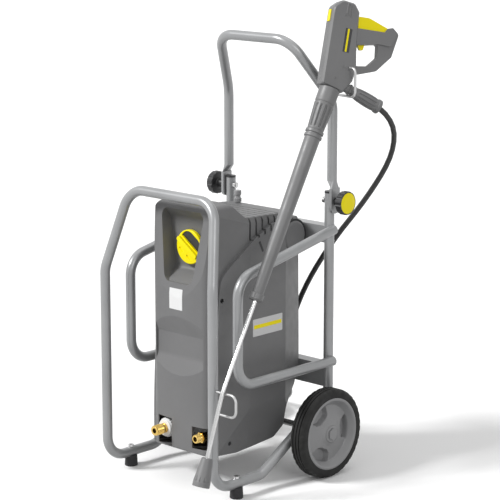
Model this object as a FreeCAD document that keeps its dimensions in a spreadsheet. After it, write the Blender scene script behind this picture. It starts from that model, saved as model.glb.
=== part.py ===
import FreeCAD, Part
import math
import os
import re

import Sketcher
from FreeCAD import Placement, Rotation, Vector

# An upright cold-water pressure washer on a tube trolley, in millimetres.
# Machine frame: x = 0 is the mid-plane, y = 0 the plane of the front legs, z = 0 the ground.
# The front is towards -y. Finished pieces are shifted by (-middle_x, -middle_y), so that the
# origin lies on the ground under the middle of the machine's box.

VALUES = {
    "middle_x": 22.6,
    "middle_y": 245.6,
    # Trolley tubes
    "tube_d": 26.9,
    "tube_wall": 2.0,
    "hoop_half": 200.0,
    "leg_kink_z": 567.0,
    "hoop_top_z": 780.0,
    "hoop_top_y": 53.0,
    "hoop_top_half": 156.0,
    "hoop_bend": 62.0,
    "kink_bend": 90.0,
    "leg_split_z": 130.0,
    "corner_bend": 60.0,
    "runner_kink_y": 178.0,
    "runner_rise": 31.0,
    "side_front_y": 92.0,
    "side_low_z": 295.0,
    "side_top_z": 580.0,
    "side_rise": 12.0,
    "post_inset": 17.0,
    "post_half": "=hoop_half - post_inset",
    "post_y": 466.0,
    "post_top": 762.0,
    "post_foot": 150.0,
    "cap_height": 5.0,
    "member_low_z": 222.0,
    "member_low_height": 62.0,
    "member_high_z": 622.0,
    "member_high_height": 46.0,
    "member_depth": 22.0,
    "sheet": 3.0,
    # Feet
    "foot_d": 33.0,
    "foot_height": 26.0,
    "foot_y": 86.0,
    "foot_screw_d": 8.0,
    "foot_screw_head": 15.0,
    # Wheels
    "axle_y": 381.0,
    "axle_z": 122.0,
    "axle_d": 18.0,
    "bracket_t": 5.0,
    "tyre_r": 122.0,
    "rim_r": 107.0,
    "wheel_reach": 76.0,
    "wheel_outer": "=hoop_half + wheel_reach",
    "wheel_width": 50.0,
    "hub_r": 24.0,
    "window_in": 42.0,
    "window_out": 84.0,
    "running": 0.06,
    "groove_w": 3.0,
    # Folding push handle
    "arm_offset": 8.0,
    "arm_half": "=post_half + arm_offset",
    "handle_low_z": 703.0,
    "handle_pivot_z": 736.0,
    "handle_flat_z": 772.0,
    "handle_round_z": 792.0,
    "handle_kink_z": 1006.0,
    "handle_top_z": 1169.0,
    "handle_top_y": 365.0,
    "handle_top_half": 127.0,
    "handle_bend": 68.0,
    "flat_t": 8.0,
    "flat_w": 34.0,
    "gap": 0.3,
    "bolt_d": 10.0,
    "knob_r": 32.0,
    "knob_t": 20.0,
    "knob_neck": 24.0,
    "knob_cap_r": 28.5,
    # Wire holders
    "wire_d": 7.0,
    "holder_z": 249.0,
    "holder_height": 58.0,
    "holder_reach": 81.0,
    "holder_out": "=hoop_half + holder_reach",
    "hook_z": 1026.0,
    "hook_top_z": 1101.0,
    "hook_reach": 95.0,
    "hook_x": "=hoop_half + hook_reach",
    "hook_y": 434.5,
    # Housing
    "body_wall": 4.0,
    "body_half": 118.0,
    "cheek_half": 128.0,
    "body_front": 66.0,
    "body_rear": 452.0,
    "body_low": 76.0,
    "body_top": 764.0,
    "vent_top": 714.0,
    "vent_front": 212.0,
    "vent_pitch": 23.5,
    "vent_slot": 6.0,
    "vent_low": 652.0,
    "seam_y": 214.0,
    "dish_half": 80.0,
    "dish_floor": 124.0,
    "scoop_half": 88.0,
    "scoop_depth": 15.0,
    "drum_y": 398.0,
    "drum_z": 640.0,
    "drum_r": 42.0,
    "drum_half": 122.0,
    # Rotary switch
    "switch_x": 6.0,
    "switch_z": 637.0,
    "switch_r": 46.0,
    "switch_t": 22.0,
    "switch_shaft": 12.0,
    # Water connections
    "inlet_x": -52.0,
    "inlet_z": 140.0,
    "inlet_r": 13.2,
    "inlet_end_y": 33.0,
    "outlet_x": 74.0,
    "outlet_z": 137.0,
    "outlet_r": 11.0,
    "outlet_end_y": 60.0,
    "water_bore": 7.0,
    "thread_len": 31.0,
    "undercut": 3.0,
    "nut_r": 24.0,
    "nut_t": 30.0,
    # Pump and motor inside the housing
    "unit_y": 246.0,
    "pump_w": 176.0,
    "pump_low": 104.0,
    "pump_depth": 180.0,
    "pump_top": 330.0,
    "swash_r": 55.0,
    "swash_z": 268.0,
    "shaft_d": 22.0,
    "stator_r": 84.0,
    "stator_bore": 45.0,
    "stator_height": 170.0,
    "fan_r": 72.0,
    "piston_d": 16.0,
    "piston_ring": 34.0,
    # Spray lance, gun and nozzle
    "lance_reach": 43.0,
    "lance_x": "=hoop_half + lance_reach",
    "kink_y": -9.6,
    "kink_z": 312.0,
    "joint_y": 394.0,
    "joint_z": 1048.0,
    "gun_turn": 25.0,
    "gun_tilt": 11.2,
    "gun_half": 19.0,
    "grip_half": 13.0,
    "guard_half": 9.0,
    "trigger_half": 8.0,
    "latch_half": 4.0,
    "play": 0.6,
    "pin_r": 2.5,
    "root_r": 12.5,
    "nut_len": 118.0,
    "neck_r": 27.0,
    "nut_low_r": 21.5,
    "grip_r": 21.0,
    "grip_low_r": 15.0,
    "grip_len": 589.0,
    "pipe_r": 5.5,
    "nozzle_lean": 19.2,
    "nozzle_len": 243.0,
    "cup_len": 74.0,
    "cup_r": 22.5,
    "cup_top_r": 15.0,
    "pipe_bend": 45.0,
    # Hose
    "hose_d": 15.0,
    "coil_x": -340.0,
    "coil_y": 640.0,
    "coil_turns": 3.0,
    "coil_outer": 130.0,
    "coil_pitch": 18.4,
    "coil_rise": 16.2,
    "coupling_r": 17.0,
    "coupling_len": 88.0,
}

os.makedirs("parts", exist_ok=True)
doc = FreeCAD.newDocument("PressureWasher")
sizes = doc.addObject("Spreadsheet::Sheet", "Sizes")
for row, (alias, number) in enumerate(VALUES.items(), start=1):
    sizes.set(f"A{row}", alias)
    sizes.set(f"B{row}", str(number))
    sizes.setAlias(f"B{row}", alias)
doc.recompute()

WORD = re.compile(r"\b[a-z][a-z_]*\b")
AXIS_TURN = {
    "X": Rotation(Vector(0, 1, 0), 90),
    "-X": Rotation(Vector(0, 1, 0), -90),
    "Y": Rotation(Vector(1, 0, 0), -90),
    "-Y": Rotation(Vector(1, 0, 0), 90),
    "Z": Rotation(),
}
PLANE_TURN = {
    "XY": Rotation(),
    "XZ": Rotation(Vector(1, 0, 0), 90),
    "YZ": Rotation(Vector(1, 1, 1), 120),
}
nodes = []


def cell(expression):
    """Write the sheet's name before each alias in an expression."""
    return WORD.sub(lambda found: "Sizes." + found[0] if found[0] in VALUES else found[0], str(expression))


def num(expression):
    """The value of an expression of aliases."""
    return float(doc.Sizes.evalExpression(str(expression)))


def bind(thing, **properties):
    """Bind a shape's properties to expressions of aliases."""
    for name, expression in properties.items():
        thing.setExpression(name, cell(expression))
    return thing


def at(thing, x=0, y=0, z=0, turn=None):
    """Place an object, with its place bound to expressions."""
    if turn is not None:
        thing.Placement = Placement(Vector(), turn)
    for axis, expression in zip("xyz", (x, y, z)):
        thing.setExpression("Placement.Base." + axis, cell(expression))
    return thing


def node(thing, label, x=0, y=0, z=0, turn=None):
    """Name a finished piece and place it in the part's frame."""
    thing.Label = label
    at(thing, f"{x} - middle_x", f"{y} - middle_y", z, turn)
    nodes.append(thing)
    return thing


def solid_node(label, shape):
    """A finished piece whose shape is worked out from the sheet's values."""
    thing = doc.addObject("Part::Feature", "Form")
    thing.Shape = shape
    return node(thing, label)


def cylinder(radius, height, x=0, y=0, z=0, axis="Z"):
    thing = bind(doc.addObject("Part::Cylinder", "Cylinder"), Radius=radius, Height=height)
    return at(thing, x, y, z, AXIS_TURN[axis])


def stand(thing, start, way):
    """Stand a primitive on a point, with its axis along a direction."""
    for axis in "xyz":
        thing.setExpression("Placement.Base." + axis, None)
    thing.Placement = Placement(start, Rotation(Vector(0, 0, 1), way))
    return thing


def box(length, width, height, x=0, y=0, z=0):
    thing = bind(doc.addObject("Part::Box", "Box"), Length=length, Width=width, Height=height)
    return at(thing, x, y, z)


def cut(base, *tools):
    for tool in tools:
        result = doc.addObject("Part::Cut", "Cut")
        result.Base = base
        result.Tool = tool
        base = result
    return base


def join(*shapes):
    result = doc.addObject("Part::MultiFuse", "Fuse")
    result.Shapes = list(shapes)
    return result


def common(base, *shapes):
    for shape in shapes:
        result = doc.addObject("Part::Common", "Common")
        result.Base = base
        result.Tool = shape
        base = result
    return base


def corner_arc(before, corner, after, radius):
    """Tangent points and middle of the arc that rounds a corner."""
    to_before = (before - corner).normalize()
    to_after = (after - corner).normalize()
    half = to_before.getAngle(to_after) / 2
    reach = radius / math.tan(half)
    centre = corner + (to_before + to_after).normalize() * (radius / math.sin(half))
    middle = centre + (corner - centre).normalize() * radius
    return corner + to_before * reach, middle, corner + to_after * reach


def draw(sketch, corners):
    """Draw a closed outline whose corners and corner radii are bound to expressions."""
    count = len(corners)
    spots = [Vector(num(c[0]), num(c[1]), 0) for c in corners]
    radii = [c[2] if len(c) > 2 else None for c in corners]
    starts, ends, points, arcs = [], [], [], []
    for index, spot in enumerate(spots):
        if radii[index] is None:
            starts.append(spot)
            ends.append(spot)
            arcs.append(None)
        else:
            first, middle, last = corner_arc(spots[index - 1], spot, spots[(index + 1) % count],
                num(radii[index]))
            arcs.append((first, middle, last))
            starts.append(last)
            ends.append(first)
    for index, spot in enumerate(spots):
        point = sketch.addGeometry(Part.Point(spot), True)
        points.append(point)
        for kind, place in (("DistanceX", 0), ("DistanceY", 1)):
            size = (spot.x, spot.y)[place]
            made = sketch.addConstraint(Sketcher.Constraint(kind, -1, 1, point, 1, size))
            sketch.setExpression(f"Constraints[{made}]", cell(corners[index][place]))
    lines = []
    for index in range(count):
        after = (index + 1) % count
        line = sketch.addGeometry(Part.LineSegment(starts[index], ends[after]), False)
        lines.append(line)
        if radii[index] is None:
            sketch.addConstraint(Sketcher.Constraint("Coincident", line, 1, points[index], 1))
        else:
            sketch.addConstraint(Sketcher.Constraint("PointOnObject", points[index], 1, line))
        if radii[after] is None:
            sketch.addConstraint(Sketcher.Constraint("Coincident", line, 2, points[after], 1))
        else:
            sketch.addConstraint(Sketcher.Constraint("PointOnObject", points[after], 1, line))
    for index in range(count):
        if radii[index] is None:
            continue
        first, middle, last = arcs[index]
        begin, finish = 1, 2
        if (middle - first).cross(last - first).z < 0:
            first, last = last, first
            begin, finish = 2, 1
        arc = sketch.addGeometry(Part.Arc(first, middle, last), False)
        sketch.addConstraint(Sketcher.Constraint("Tangent", lines[index - 1], 2, arc, begin))
        sketch.addConstraint(Sketcher.Constraint("Tangent", arc, finish, lines[index], 1))
        made = sketch.addConstraint(Sketcher.Constraint("Radius", arc, num(radii[index])))
        sketch.setExpression(f"Constraints[{made}]", cell(radii[index]))
    return sketch


def mirrored(corners):
    """A symmetric outline from the corners of its half with x above 0, listed from bottom to top."""
    other = [(f"-({c[0]})",) + tuple(c[1:]) for c in reversed(corners) if str(c[0]) != "0"]
    return list(corners) + other


def outline(plane, corners, x=0, y=0, z=0):
    """A sketch of its own on a plane of the machine frame."""
    sketch = doc.addObject("Sketcher::SketchObject", "Outline")
    at(sketch, x, y, z, PLANE_TURN[plane])
    return draw(sketch, corners)


def grown(sketch, reach):
    """The outline moved outwards, or inwards by a negative reach."""
    result = bind(doc.addObject("Part::Offset2D", "Offset"), Value=reach)
    result.Source = sketch
    result.Join = "Intersection"
    return result


def extrude(sketch, direction, length, back=0):
    result = doc.addObject("Part::Extrusion", "Extrusion")
    result.Base = sketch
    result.DirMode = "Custom"
    result.Dir = direction
    result.Solid = True
    return bind(result, LengthFwd=length, LengthRev=back)


def revolve(sketch, direction, x=0, y=0, z=0):
    result = doc.addObject("Part::Revolution", "Revolution")
    result.Source = sketch
    result.Axis = direction
    result.Base = Vector(num(x), num(y), num(z))
    result.Angle = 360
    result.Solid = True
    return result


def body(label):
    return doc.addObject("PartDesign::Body", "Body_" + label)


def body_sketch(owner, plane, corners, offset=0):
    """A sketch on an origin plane of a body."""
    role = {"XY": "XY_Plane", "XZ": "XZ_Plane", "YZ": "YZ_Plane"}[plane]
    sketch = owner.newObject("Sketcher::SketchObject", "Profile")
    sketch.AttachmentSupport = [(next(f for f in owner.Origin.OriginFeatures if f.Role == role), "")]
    sketch.MapMode = "FlatFace"
    sketch.setExpression("AttachmentOffset.Base.z", cell(offset))
    return draw(sketch, corners)


def body_circle(owner, plane, circles, offset=0):
    """A sketch of circles, each as x, y and radius, on an origin plane of a body."""
    sketch = body_sketch(owner, plane, [], offset)
    for x, y, radius in circles:
        made = sketch.addGeometry(Part.Circle(Vector(num(x), num(y), 0), Vector(0, 0, 1), num(radius)),
            False)
        for kind, size in (("DistanceX", x), ("DistanceY", y)):
            line = sketch.addConstraint(Sketcher.Constraint(kind, -1, 1, made, 3, num(size)))
            sketch.setExpression(f"Constraints[{line}]", cell(size))
        line = sketch.addConstraint(Sketcher.Constraint("Radius", made, num(radius)))
        sketch.setExpression(f"Constraints[{line}]", cell(radius))
    return sketch


def pad(owner, sketch, length, midplane=False, reverse=False):
    feature = owner.newObject("PartDesign::Pad", "Pad")
    feature.Profile = sketch
    feature.Midplane = midplane
    feature.Reversed = reverse
    return bind(feature, Length=length)


def pocket(owner, sketch, length, midplane=False, reverse=False):
    feature = owner.newObject("PartDesign::Pocket", "Pocket")
    feature.Profile = sketch
    feature.Midplane = midplane
    feature.Reversed = reverse
    return bind(feature, Length=length)


def spin(owner, sketch):
    """A revolution about the sketch's own vertical axis."""
    feature = owner.newObject("PartDesign::Revolution", "Revolution")
    feature.Profile = sketch
    feature.ReferenceAxis = (sketch, ["V_Axis"])
    feature.Angle = 360
    return feature


def groove(owner, sketch):
    feature = owner.newObject("PartDesign::Groove", "Groove")
    feature.Profile = sketch
    feature.ReferenceAxis = (sketch, ["V_Axis"])
    feature.Angle = 360
    return feature


def around(owner, features, count):
    """Repeat features round the body's z axis."""
    pattern = owner.newObject("PartDesign::PolarPattern", "Around")
    pattern.Originals = features
    pattern.Axis = (next(f for f in owner.Origin.OriginFeatures if f.Role == "Z_Axis"), [""])
    pattern.Angle = 360
    pattern.Occurrences = count
    owner.Tip = pattern
    return pattern


def turned(label, corners):
    """A body turned about its z axis from a profile of radius and height."""
    owner = body(label)
    spin(owner, body_sketch(owner, "XZ", corners))
    return owner


def arc_edge(start, control, end):
    """The circular arc from start to end whose tangents meet at the control point."""
    middle = (start + end) * 0.5
    weight = (end - start).Length / 2 / (control - start).Length
    return Part.Arc(start, middle + (control - middle) * (weight / (1 + weight)), end).toShape()


def rounded_wire(points, radii):
    """A wire of straight runs joined by tangent arcs."""
    edges = []
    last = points[0]
    for before, corner, after, radius in zip(points, points[1:], points[2:], radii):
        first, middle, end = corner_arc(before, corner, after, radius)
        if (first - last).Length > 1e-6:
            edges.append(Part.LineSegment(last, first).toShape())
        edges.append(Part.Arc(first, middle, end).toShape())
        last = end
    edges.append(Part.LineSegment(last, points[-1]).toShape())
    return Part.Wire(edges)


def swept(wire, radius):
    """A round bar along a wire."""
    edge = wire.OrderedEdges[0]
    start = edge.valueAt(edge.FirstParameter)
    along = edge.tangentAt(edge.FirstParameter)
    ring = Part.Wire([Part.Circle(start, along, radius).toShape()])
    return wire.makePipeShell([ring], True, False)


def bent_tube(points, radii):
    """A steel tube of the trolley along its centre line."""
    wire = rounded_wire(points, radii)
    outer = num("tube_d") / 2
    return swept(wire, outer).cut(swept(wire, outer - num("tube_wall")))


def post_bar(side, radius):
    """A solid bar on the axis of a rear post, to cope what is welded to the post."""
    return Part.makeCylinder(radius, num("post_top"), Vector(side * num("post_half"), num("post_y"), 0))


# Trolley

def front_hoop():
    """Two front legs that lean back above a kink and meet in the top bar."""
    points = []
    for side in (-1, 1):
        leg = [
            Vector(side * num("hoop_half"), 0, num("leg_split_z")),
            Vector(side * num("hoop_half"), 0, num("leg_kink_z")),
            Vector(side * num("hoop_top_half"), num("hoop_top_y"), num("hoop_top_z")),
        ]
        points += leg if side < 0 else leg[::-1]
    kink, bend = num("kink_bend"), num("hoop_bend")
    return solid_node("front_hoop", bent_tube(points, [kink, bend, bend, kink]))


def runner_z():
    return num("foot_height + tube_d/2")


def runner(side, label):
    """The tube that carries on from a leg, past the foot, and rises to the rear post."""
    x = side * num("hoop_half")
    rise = math.tan(math.radians(num("runner_rise")))
    end = runner_z() + (num("post_y") - num("runner_kink_y")) * rise
    points = [
        Vector(x, 0, num("leg_split_z")),
        Vector(x, 0, runner_z()),
        Vector(x, num("runner_kink_y"), runner_z()),
        Vector(x, num("post_y"), end),
    ]
    tube = bent_tube(points, [num("corner_bend"), num("corner_bend")])
    hole = Part.makeCylinder(num("foot_screw_d/2"), num("tube_d*2"), Vector(x, num("foot_y"), 0))
    return solid_node(label, tube.cut(post_bar(side, num("tube_d/2"))).cut(hole))


def side_tube(side, label):
    """The U-shaped guard tube beside the housing."""
    x = side * num("hoop_half")
    rise = math.tan(math.radians(num("side_rise")))
    top = num("side_top_z") + (num("post_y") - num("side_front_y")) * rise
    points = [
        Vector(x, num("post_y"), num("side_low_z")),
        Vector(x, num("side_front_y"), num("side_low_z")),
        Vector(x, num("side_front_y"), num("side_top_z")),
        Vector(x, num("post_y"), top),
    ]
    tube = bent_tube(points, [num("corner_bend"), num("corner_bend")])
    return solid_node(label, tube.cut(post_bar(side, num("tube_d/2"))))


def rear_post(side, label):
    height = "post_top - cap_height - post_foot"
    outer = cylinder("tube_d/2", height)
    inner = cylinder("tube_d/2 - tube_wall", height)
    bolt_z = "handle_pivot_z - post_foot"
    bolt = cylinder("bolt_d/2 + gap/2", "tube_d*2", "-tube_d", 0, bolt_z, "X")
    return node(cut(outer, inner, bolt), label, f"{side}*post_half", "post_y", "post_foot")


def cross_member(label, low, height):
    """A folded channel welded between the rear posts, which carries the housing."""
    depth = "post_y + member_depth - body_rear"
    owner = body(label)
    half = "post_half"
    channel = body_sketch(owner, "YZ", [
        ("body_rear", low), (f"body_rear + {depth}", low),
        (f"body_rear + {depth}", f"{low} + sheet"),
        ("body_rear + sheet", f"{low} + sheet"), ("body_rear + sheet", f"{low} + {height} - sheet"),
        (f"body_rear + {depth}", f"{low} + {height} - sheet"), (f"body_rear + {depth}", f"{low} + {height}"),
        ("body_rear", f"{low} + {height}"),
    ])
    pad(owner, channel, f"2*{half}", midplane=True)
    posts = body_circle(owner, "XY", [(f"-{half}", "post_y", "tube_d/2"), (half, "post_y", "tube_d/2")])
    pocket(owner, posts, "post_top*2", midplane=True)
    return node(owner, label)


def axle_brackets():
    """Two plates that hang the axle between the runners and the posts."""
    plates = []
    for side in (-1, 1):
        x = f"{side}*(hoop_half - tube_d/2 - bracket_t/2) - bracket_t/2"
        plate = outline("YZ", [
            ("axle_y - 34", "axle_z + 22", 12), ("axle_y - 22", "axle_z - 26", 16), ("axle_y + 24",
            "axle_z - 26", 16),
            ("post_y", "post_foot"), ("post_y", "post_foot + 62"), ("axle_y + 14", "axle_z + 46", 12),
        ], x)
        form = extrude(plate, Vector(1, 0, 0), "bracket_t")
        hole = cylinder("axle_d/2 + running", "bracket_t*3", f"{x} - bracket_t", "axle_y", "axle_z", "X")
        post = cylinder("tube_d/2", "post_top", f"{side}*post_half", "post_y")
        plates.append(cut(form, hole, post))
    return node(join(*plates), "axle_brackets")


def pair(label, make):
    """Two like pieces of the left and right side in one node."""
    return node(join(make("-1"), make("1")), label)


def post_cap(side):
    plug = cylinder("tube_d/2 - tube_wall", "cap_height*3", f"{side}*post_half", "post_y",
        "post_top - cap_height*3")
    head = cylinder("tube_d/2", "cap_height", f"{side}*post_half", "post_y", "post_top - cap_height")
    return join(plug, head)


def foot(side):
    profile = outline("XZ", [
        (0, 0), ("foot_d/2 + 1.5", 0, 2), ("foot_d/2", "foot_height + 4"), (0, "foot_height + 4"),
    ], f"{side}*hoop_half", "foot_y")
    form = revolve(profile, Vector(0, 0, 1), f"{side}*hoop_half", "foot_y")
    tube = cylinder("tube_d/2", "foot_d*2", f"{side}*hoop_half", "foot_y - foot_d",
        "foot_height + tube_d/2", "Y")
    screw = cylinder("foot_screw_d/2", "foot_height", f"{side}*hoop_half", "foot_y", "foot_height/2")
    return cut(form, tube, screw)


def foot_screw(side):
    x = f"{side}*hoop_half"
    shank = cylinder("foot_screw_d/2", "foot_height/2 + tube_d", x, "foot_y", "foot_height/2")
    head = cylinder("foot_screw_head/2", 6, x, "foot_y", "foot_height + tube_d")
    socket = cylinder(4, 4, x, "foot_y", "foot_height + tube_d + 2.5")
    return cut(join(shank, head), socket)


def lance_holder():
    """The wire loop on the right leg that steadies the lance."""
    root = num("hoop_half")
    out, low = num("holder_out"), num("holder_z")
    high = low + num("holder_height")
    points = [Vector(root, 0, high), Vector(out, 0, high), Vector(out, 0, low), Vector(root, 0, low)]
    wire = swept(rounded_wire(points, [18, 18]), num("wire_d/2"))
    leg = Part.makeCylinder(num("tube_d/2"), 2 * high, Vector(root, 0, 0))
    return solid_node("lance_holder", wire.cut(leg))


def gun_hook():
    """The wire hook that carries the gun's hose grip beside the handle."""
    low, high = num("hook_z"), num("hook_top_z")
    x, y = num("hook_x"), num("hook_y")
    rise = (low - num("handle_kink_z")) / num("handle_top_z - handle_kink_z")
    arm_x = num("arm_half") - rise * num("arm_half - handle_top_half")
    arm_y = num("post_y") - rise * num("post_y - handle_top_y")
    points = [
        Vector(arm_x + num("tube_d/2 + gap*7"), arm_y, low), Vector(x, y, low),
        Vector(x, y, high), Vector(x - 22, y + 4, high),
    ]
    return solid_node("gun_hook", swept(rounded_wire(points, [16, 12]), num("wire_d/2")))


# Wheels on the axle

def axle():
    shaft = cylinder("axle_d/2", "2*(wheel_outer - 12)")
    return node(shaft, "axle", "12 - wheel_outer", "axle_y", "axle_z", AXIS_TURN["X"])


def axle_clips():
    """Spacer rings on the axle, inside each wheel."""
    rings = []
    for side in (-1, 1):
        inner = "hoop_half - tube_d/2 + gap"
        length = f"wheel_outer - wheel_width - gap*2 - ({inner})"
        x = f"{side}*({inner} + ({length})/2) - ({length})/2"
        ring = cylinder("axle_d/2 + 5", length, x, "axle_y", "axle_z", "X")
        bore = cylinder("axle_d/2", f"{length} + 2", f"{x} - 1", "axle_y", "axle_z", "X")
        rings.append(cut(ring, bore))
    return node(join(*rings), "axle_spacers")


def tyre(side, label):
    """A solid rubber tyre with three tread grooves and rounded shoulders."""
    half = "wheel_width/2"
    owner = body(label)
    spin(owner, body_sketch(owner, "XZ", [
        ("rim_r", f"-{half} + 3", 3), ("tyre_r", f"-{half} + 1", 11), ("tyre_r", f"{half} - 1", 11),
        ("rim_r", f"{half} - 3", 3),
    ]))
    for step in (-1, 0, 1):
        line = f"{step}*wheel_width/5"
        groove(owner, body_sketch(owner, "XZ", [
            ("tyre_r - 3", f"{line} - groove_w/2"), ("tyre_r + 3", f"{line} - groove_w/2"),
            ("tyre_r + 3", f"{line} + groove_w/2"), ("tyre_r - 3", f"{line} + groove_w/2"),
        ]))
    return wheel_node(owner, label, side)


def wheel_node(owner, label, side):
    turn = AXIS_TURN["X"] if side > 0 else AXIS_TURN["-X"]
    return node(owner, label, f"{side}*(wheel_outer - wheel_width/2)", "axle_y", "axle_z", turn)


def rim(side, label):
    """The moulded wheel disc: a rim channel, a domed web with three windows and a long hub."""
    half = "wheel_width/2"
    owner = body(label)
    spin(owner, body_sketch(owner, "XZ", [
        ("axle_d/2 + running", f"-{half}"), ("hub_r - 3", f"-{half}", 2), ("hub_r", f"{half} - 22", 6),
        ("rim_r - 18", f"{half} - 27", 8), ("rim_r - 14", f"-{half} + 4", 3), ("rim_r", f"-{half} + 4"),
        ("rim_r", f"{half} - 2", 1), ("rim_r - 11", f"{half}", 2), ("rim_r - 15", f"{half} - 13", 5),
        ("hub_r + 14", f"{half} - 8", 12), ("hub_r + 2", f"{half} - 2", 3), ("axle_d/2 + running",
        f"{half} - 2"),
    ]))
    window = body_sketch(owner, "XY", [
        ("window_in", -12, 8), ("window_out - 4", -31, 10), ("window_out + 3", 0, 40), ("window_out - 4",
        31, 10), ("window_in", 12, 8),
    ])
    around(owner, [pocket(owner, window, "wheel_width*2", midplane=True)], 3)
    return wheel_node(owner, label, side)


def hub_cap(side, label):
    """The six-sided cap that covers the axle's end."""
    owner = body(label)
    flat = [(f"17*cos({60 * k})", f"17*sin({60 * k})", 3) for k in range(6)]
    pad(owner, body_sketch(owner, "XY", flat, "wheel_width/2 - 2"), 4)
    return wheel_node(owner, label, side)


# Folding handle

def push_handle():
    """One bent tube whose flattened ends turn on the clamp bolts."""
    points = []
    for side in (-1, 1):
        arm = [
            Vector(side * num("arm_half"), num("post_y"), num("handle_round_z")),
            Vector(side * num("arm_half"), num("post_y"), num("handle_kink_z")),
            Vector(side * num("handle_top_half"), num("handle_top_y"), num("handle_top_z")),
        ]
        points += arm if side < 0 else arm[::-1]
    kink, bend = num("kink_bend"), num("handle_bend")
    tube = bent_tube(points, [kink, bend, bend, kink])
    inner_x = num("post_half + tube_d/2 + gap")
    for side in (-1, 1):
        low = num("handle_low_z")
        width, thick = num("flat_w"), num("flat_t")
        x = inner_x if side > 0 else -inner_x - thick
        flat = Part.makeBox(thick, width, num("handle_flat_z") - low, Vector(x, num("post_y") - width / 2,
            low))
        corners = [e for e in flat.Edges if abs(e.tangentAt(0).x) > 0.9 and e.CenterOfMass.z < low + 1]
        flat = flat.makeFillet(width / 2 - 1, corners)
        middle = Vector(x + thick / 2, num("post_y"), num("handle_flat_z"))
        low_ring = Part.Ellipse(middle + Vector(0, width / 2 - 0.5, 0), middle + Vector(thick / 2 - 0.2,
            0, 0), middle)
        top_ring = Part.Circle(Vector(side * num("arm_half"), num("post_y"), num("handle_round_z")),
                               Vector(0, 0, 1), num("tube_d/2"))
        neck = Part.makeLoft([Part.Wire([low_ring.toShape()]), Part.Wire([top_ring.toShape()])], True, True)
        tube = tube.fuse(neck).fuse(flat)
        hole = Part.makeCylinder(num("bolt_d/2 + running"), 3 * thick, Vector(x - thick, num("post_y"),
            num("handle_pivot_z")), Vector(1, 0, 0))
        tube = tube.cut(hole)
    return solid_node("push_handle", tube)


def clamp_bolt(side):
    """A bolt through a post with a domed nut on its inner side."""
    inner = "post_half - tube_d/2"
    length = f"post_half + tube_d/2 + gap*2 + flat_t + knob_neck/2 - ({inner}) + 9"
    turn = "X" if side == "1" else "-X"
    start = f"{side}*({inner} - 9)"
    shank = cylinder("bolt_d/2", length, start, "post_y", "handle_pivot_z", turn)
    nut = cylinder("bolt_d*0.85", 7, f"{side}*({inner} - 7)", "post_y", "handle_pivot_z", turn)
    return join(shank, nut)


def knob(side, label):
    """A clamp knob: a neck, a grip disc with finger scallops and a recess for its cap."""
    owner = body(label)
    spin(owner, body_sketch(owner, "XZ", [
        (0, 0), ("bolt_d", 0), ("bolt_d + 2", "knob_neck", 4), ("knob_r", "knob_neck", 3),
        ("knob_r", "knob_neck + knob_t", 3), (0, "knob_neck + knob_t"),
    ]))
    scallop = body_circle(owner, "XY", [("knob_r + 5", 0, 7)], "knob_neck")
    around(owner, [pocket(owner, scallop, "knob_t*2", midplane=True)], 12)
    pocket(owner, body_circle(owner, "XY", [(0, 0, "knob_cap_r + gap/2")], "knob_neck + knob_t - 3"), 6,
        reverse=True)
    pocket(owner, body_circle(owner, "XY", [(0, 0, "bolt_d/2 + running")]), "knob_neck/2 + 2", reverse=True)
    turn = AXIS_TURN["X"] if side > 0 else AXIS_TURN["-X"]
    return node(owner, label, f"{side}*(post_half + tube_d/2 + gap*2 + flat_t)", "post_y",
        "handle_pivot_z", turn)


def knob_cap(side, label):
    owner = turned(label, [
        (0, 0), ("knob_cap_r", 0), ("knob_cap_r", 3, 1.5), ("knob_cap_r*0.6", 4.4, 30), (0, 4.6),
    ])
    turn = AXIS_TURN["X"] if side > 0 else AXIS_TURN["-X"]
    seat = f"{side}*(post_half + tube_d/2 + gap*2 + flat_t + knob_neck + knob_t - 3)"
    return node(owner, label, seat, "post_y", "handle_pivot_z", turn)


def trolley():
    front_hoop()
    for side, word in ((-1, "left"), (1, "right")):
        runner(side, "runner_" + word)
        side_tube(side, "side_tube_" + word)
        rear_post(side, "rear_post_" + word)
        tyre(side, "tyre_" + word)
        rim(side, "rim_" + word)
        hub_cap(side, "hub_cap_" + word)
        knob(side, "knob_" + word)
        knob_cap(side, "knob_cap_" + word)
    cross_member("cross_member_low", "member_low_z", "member_low_height")
    cross_member("cross_member_high", "member_high_z", "member_high_height")
    axle_brackets()
    pair("post_caps", post_cap)
    pair("feet", foot)
    pair("foot_screws", foot_screw)
    lance_holder()
    gun_hook()
    axle()
    axle_clips()
    push_handle()
    pair("clamp_bolts", clamp_bolt)


# Housing

def side_outline():
    return outline("YZ", [
        ("body_front", "body_low + 15", 20), ("body_front", 470, 200), ("body_front + 31", "body_top - 7",
        28),
        ("vent_front - 46", "body_top - 7", 10), ("vent_front", "vent_top", 12), (405, "vent_top - 6", 40),
        ("body_rear", 650, 20), ("body_rear", 290, 30), (424, 222, 20), (366, 172, 20), (362, 118, 15),
        (325, "body_low + 12", 20), (180, "body_low - 2", 60),
    ])


def cheek_outline():
    """The proud lower flank, which ends above along a diagonal."""
    return outline("YZ", [
        (80, 92, 10), (118, 570, 60), (228, 655, 30), (300, 690, 60), ("body_rear - 14", 690, 20),
        ("body_rear - 4", 286, 30), (418, 226, 20), (360, 176, 20), (356, 122, 15), (321, "body_low + 18",
        20),
        (180, "body_low + 5", 60),
    ])


def plan_outline(half, front):
    return outline("XY", mirrored([
        (f"{half} - 38", "body_rear", 10), (half, 353, 12), (half, 215, 60), (front, "body_front + 14", 28),
        (0, "body_front - 2", 500),
    ][::-1]))


def front_outline(half):
    return outline("XZ", mirrored([
        (f"{half} - 16", "body_low - 2", 20), (half, 200, 100), (half, 700), ("body_half - 20",
        "body_top - 12", 22),
        (0, "body_top + 1", 600),
    ]))


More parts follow.
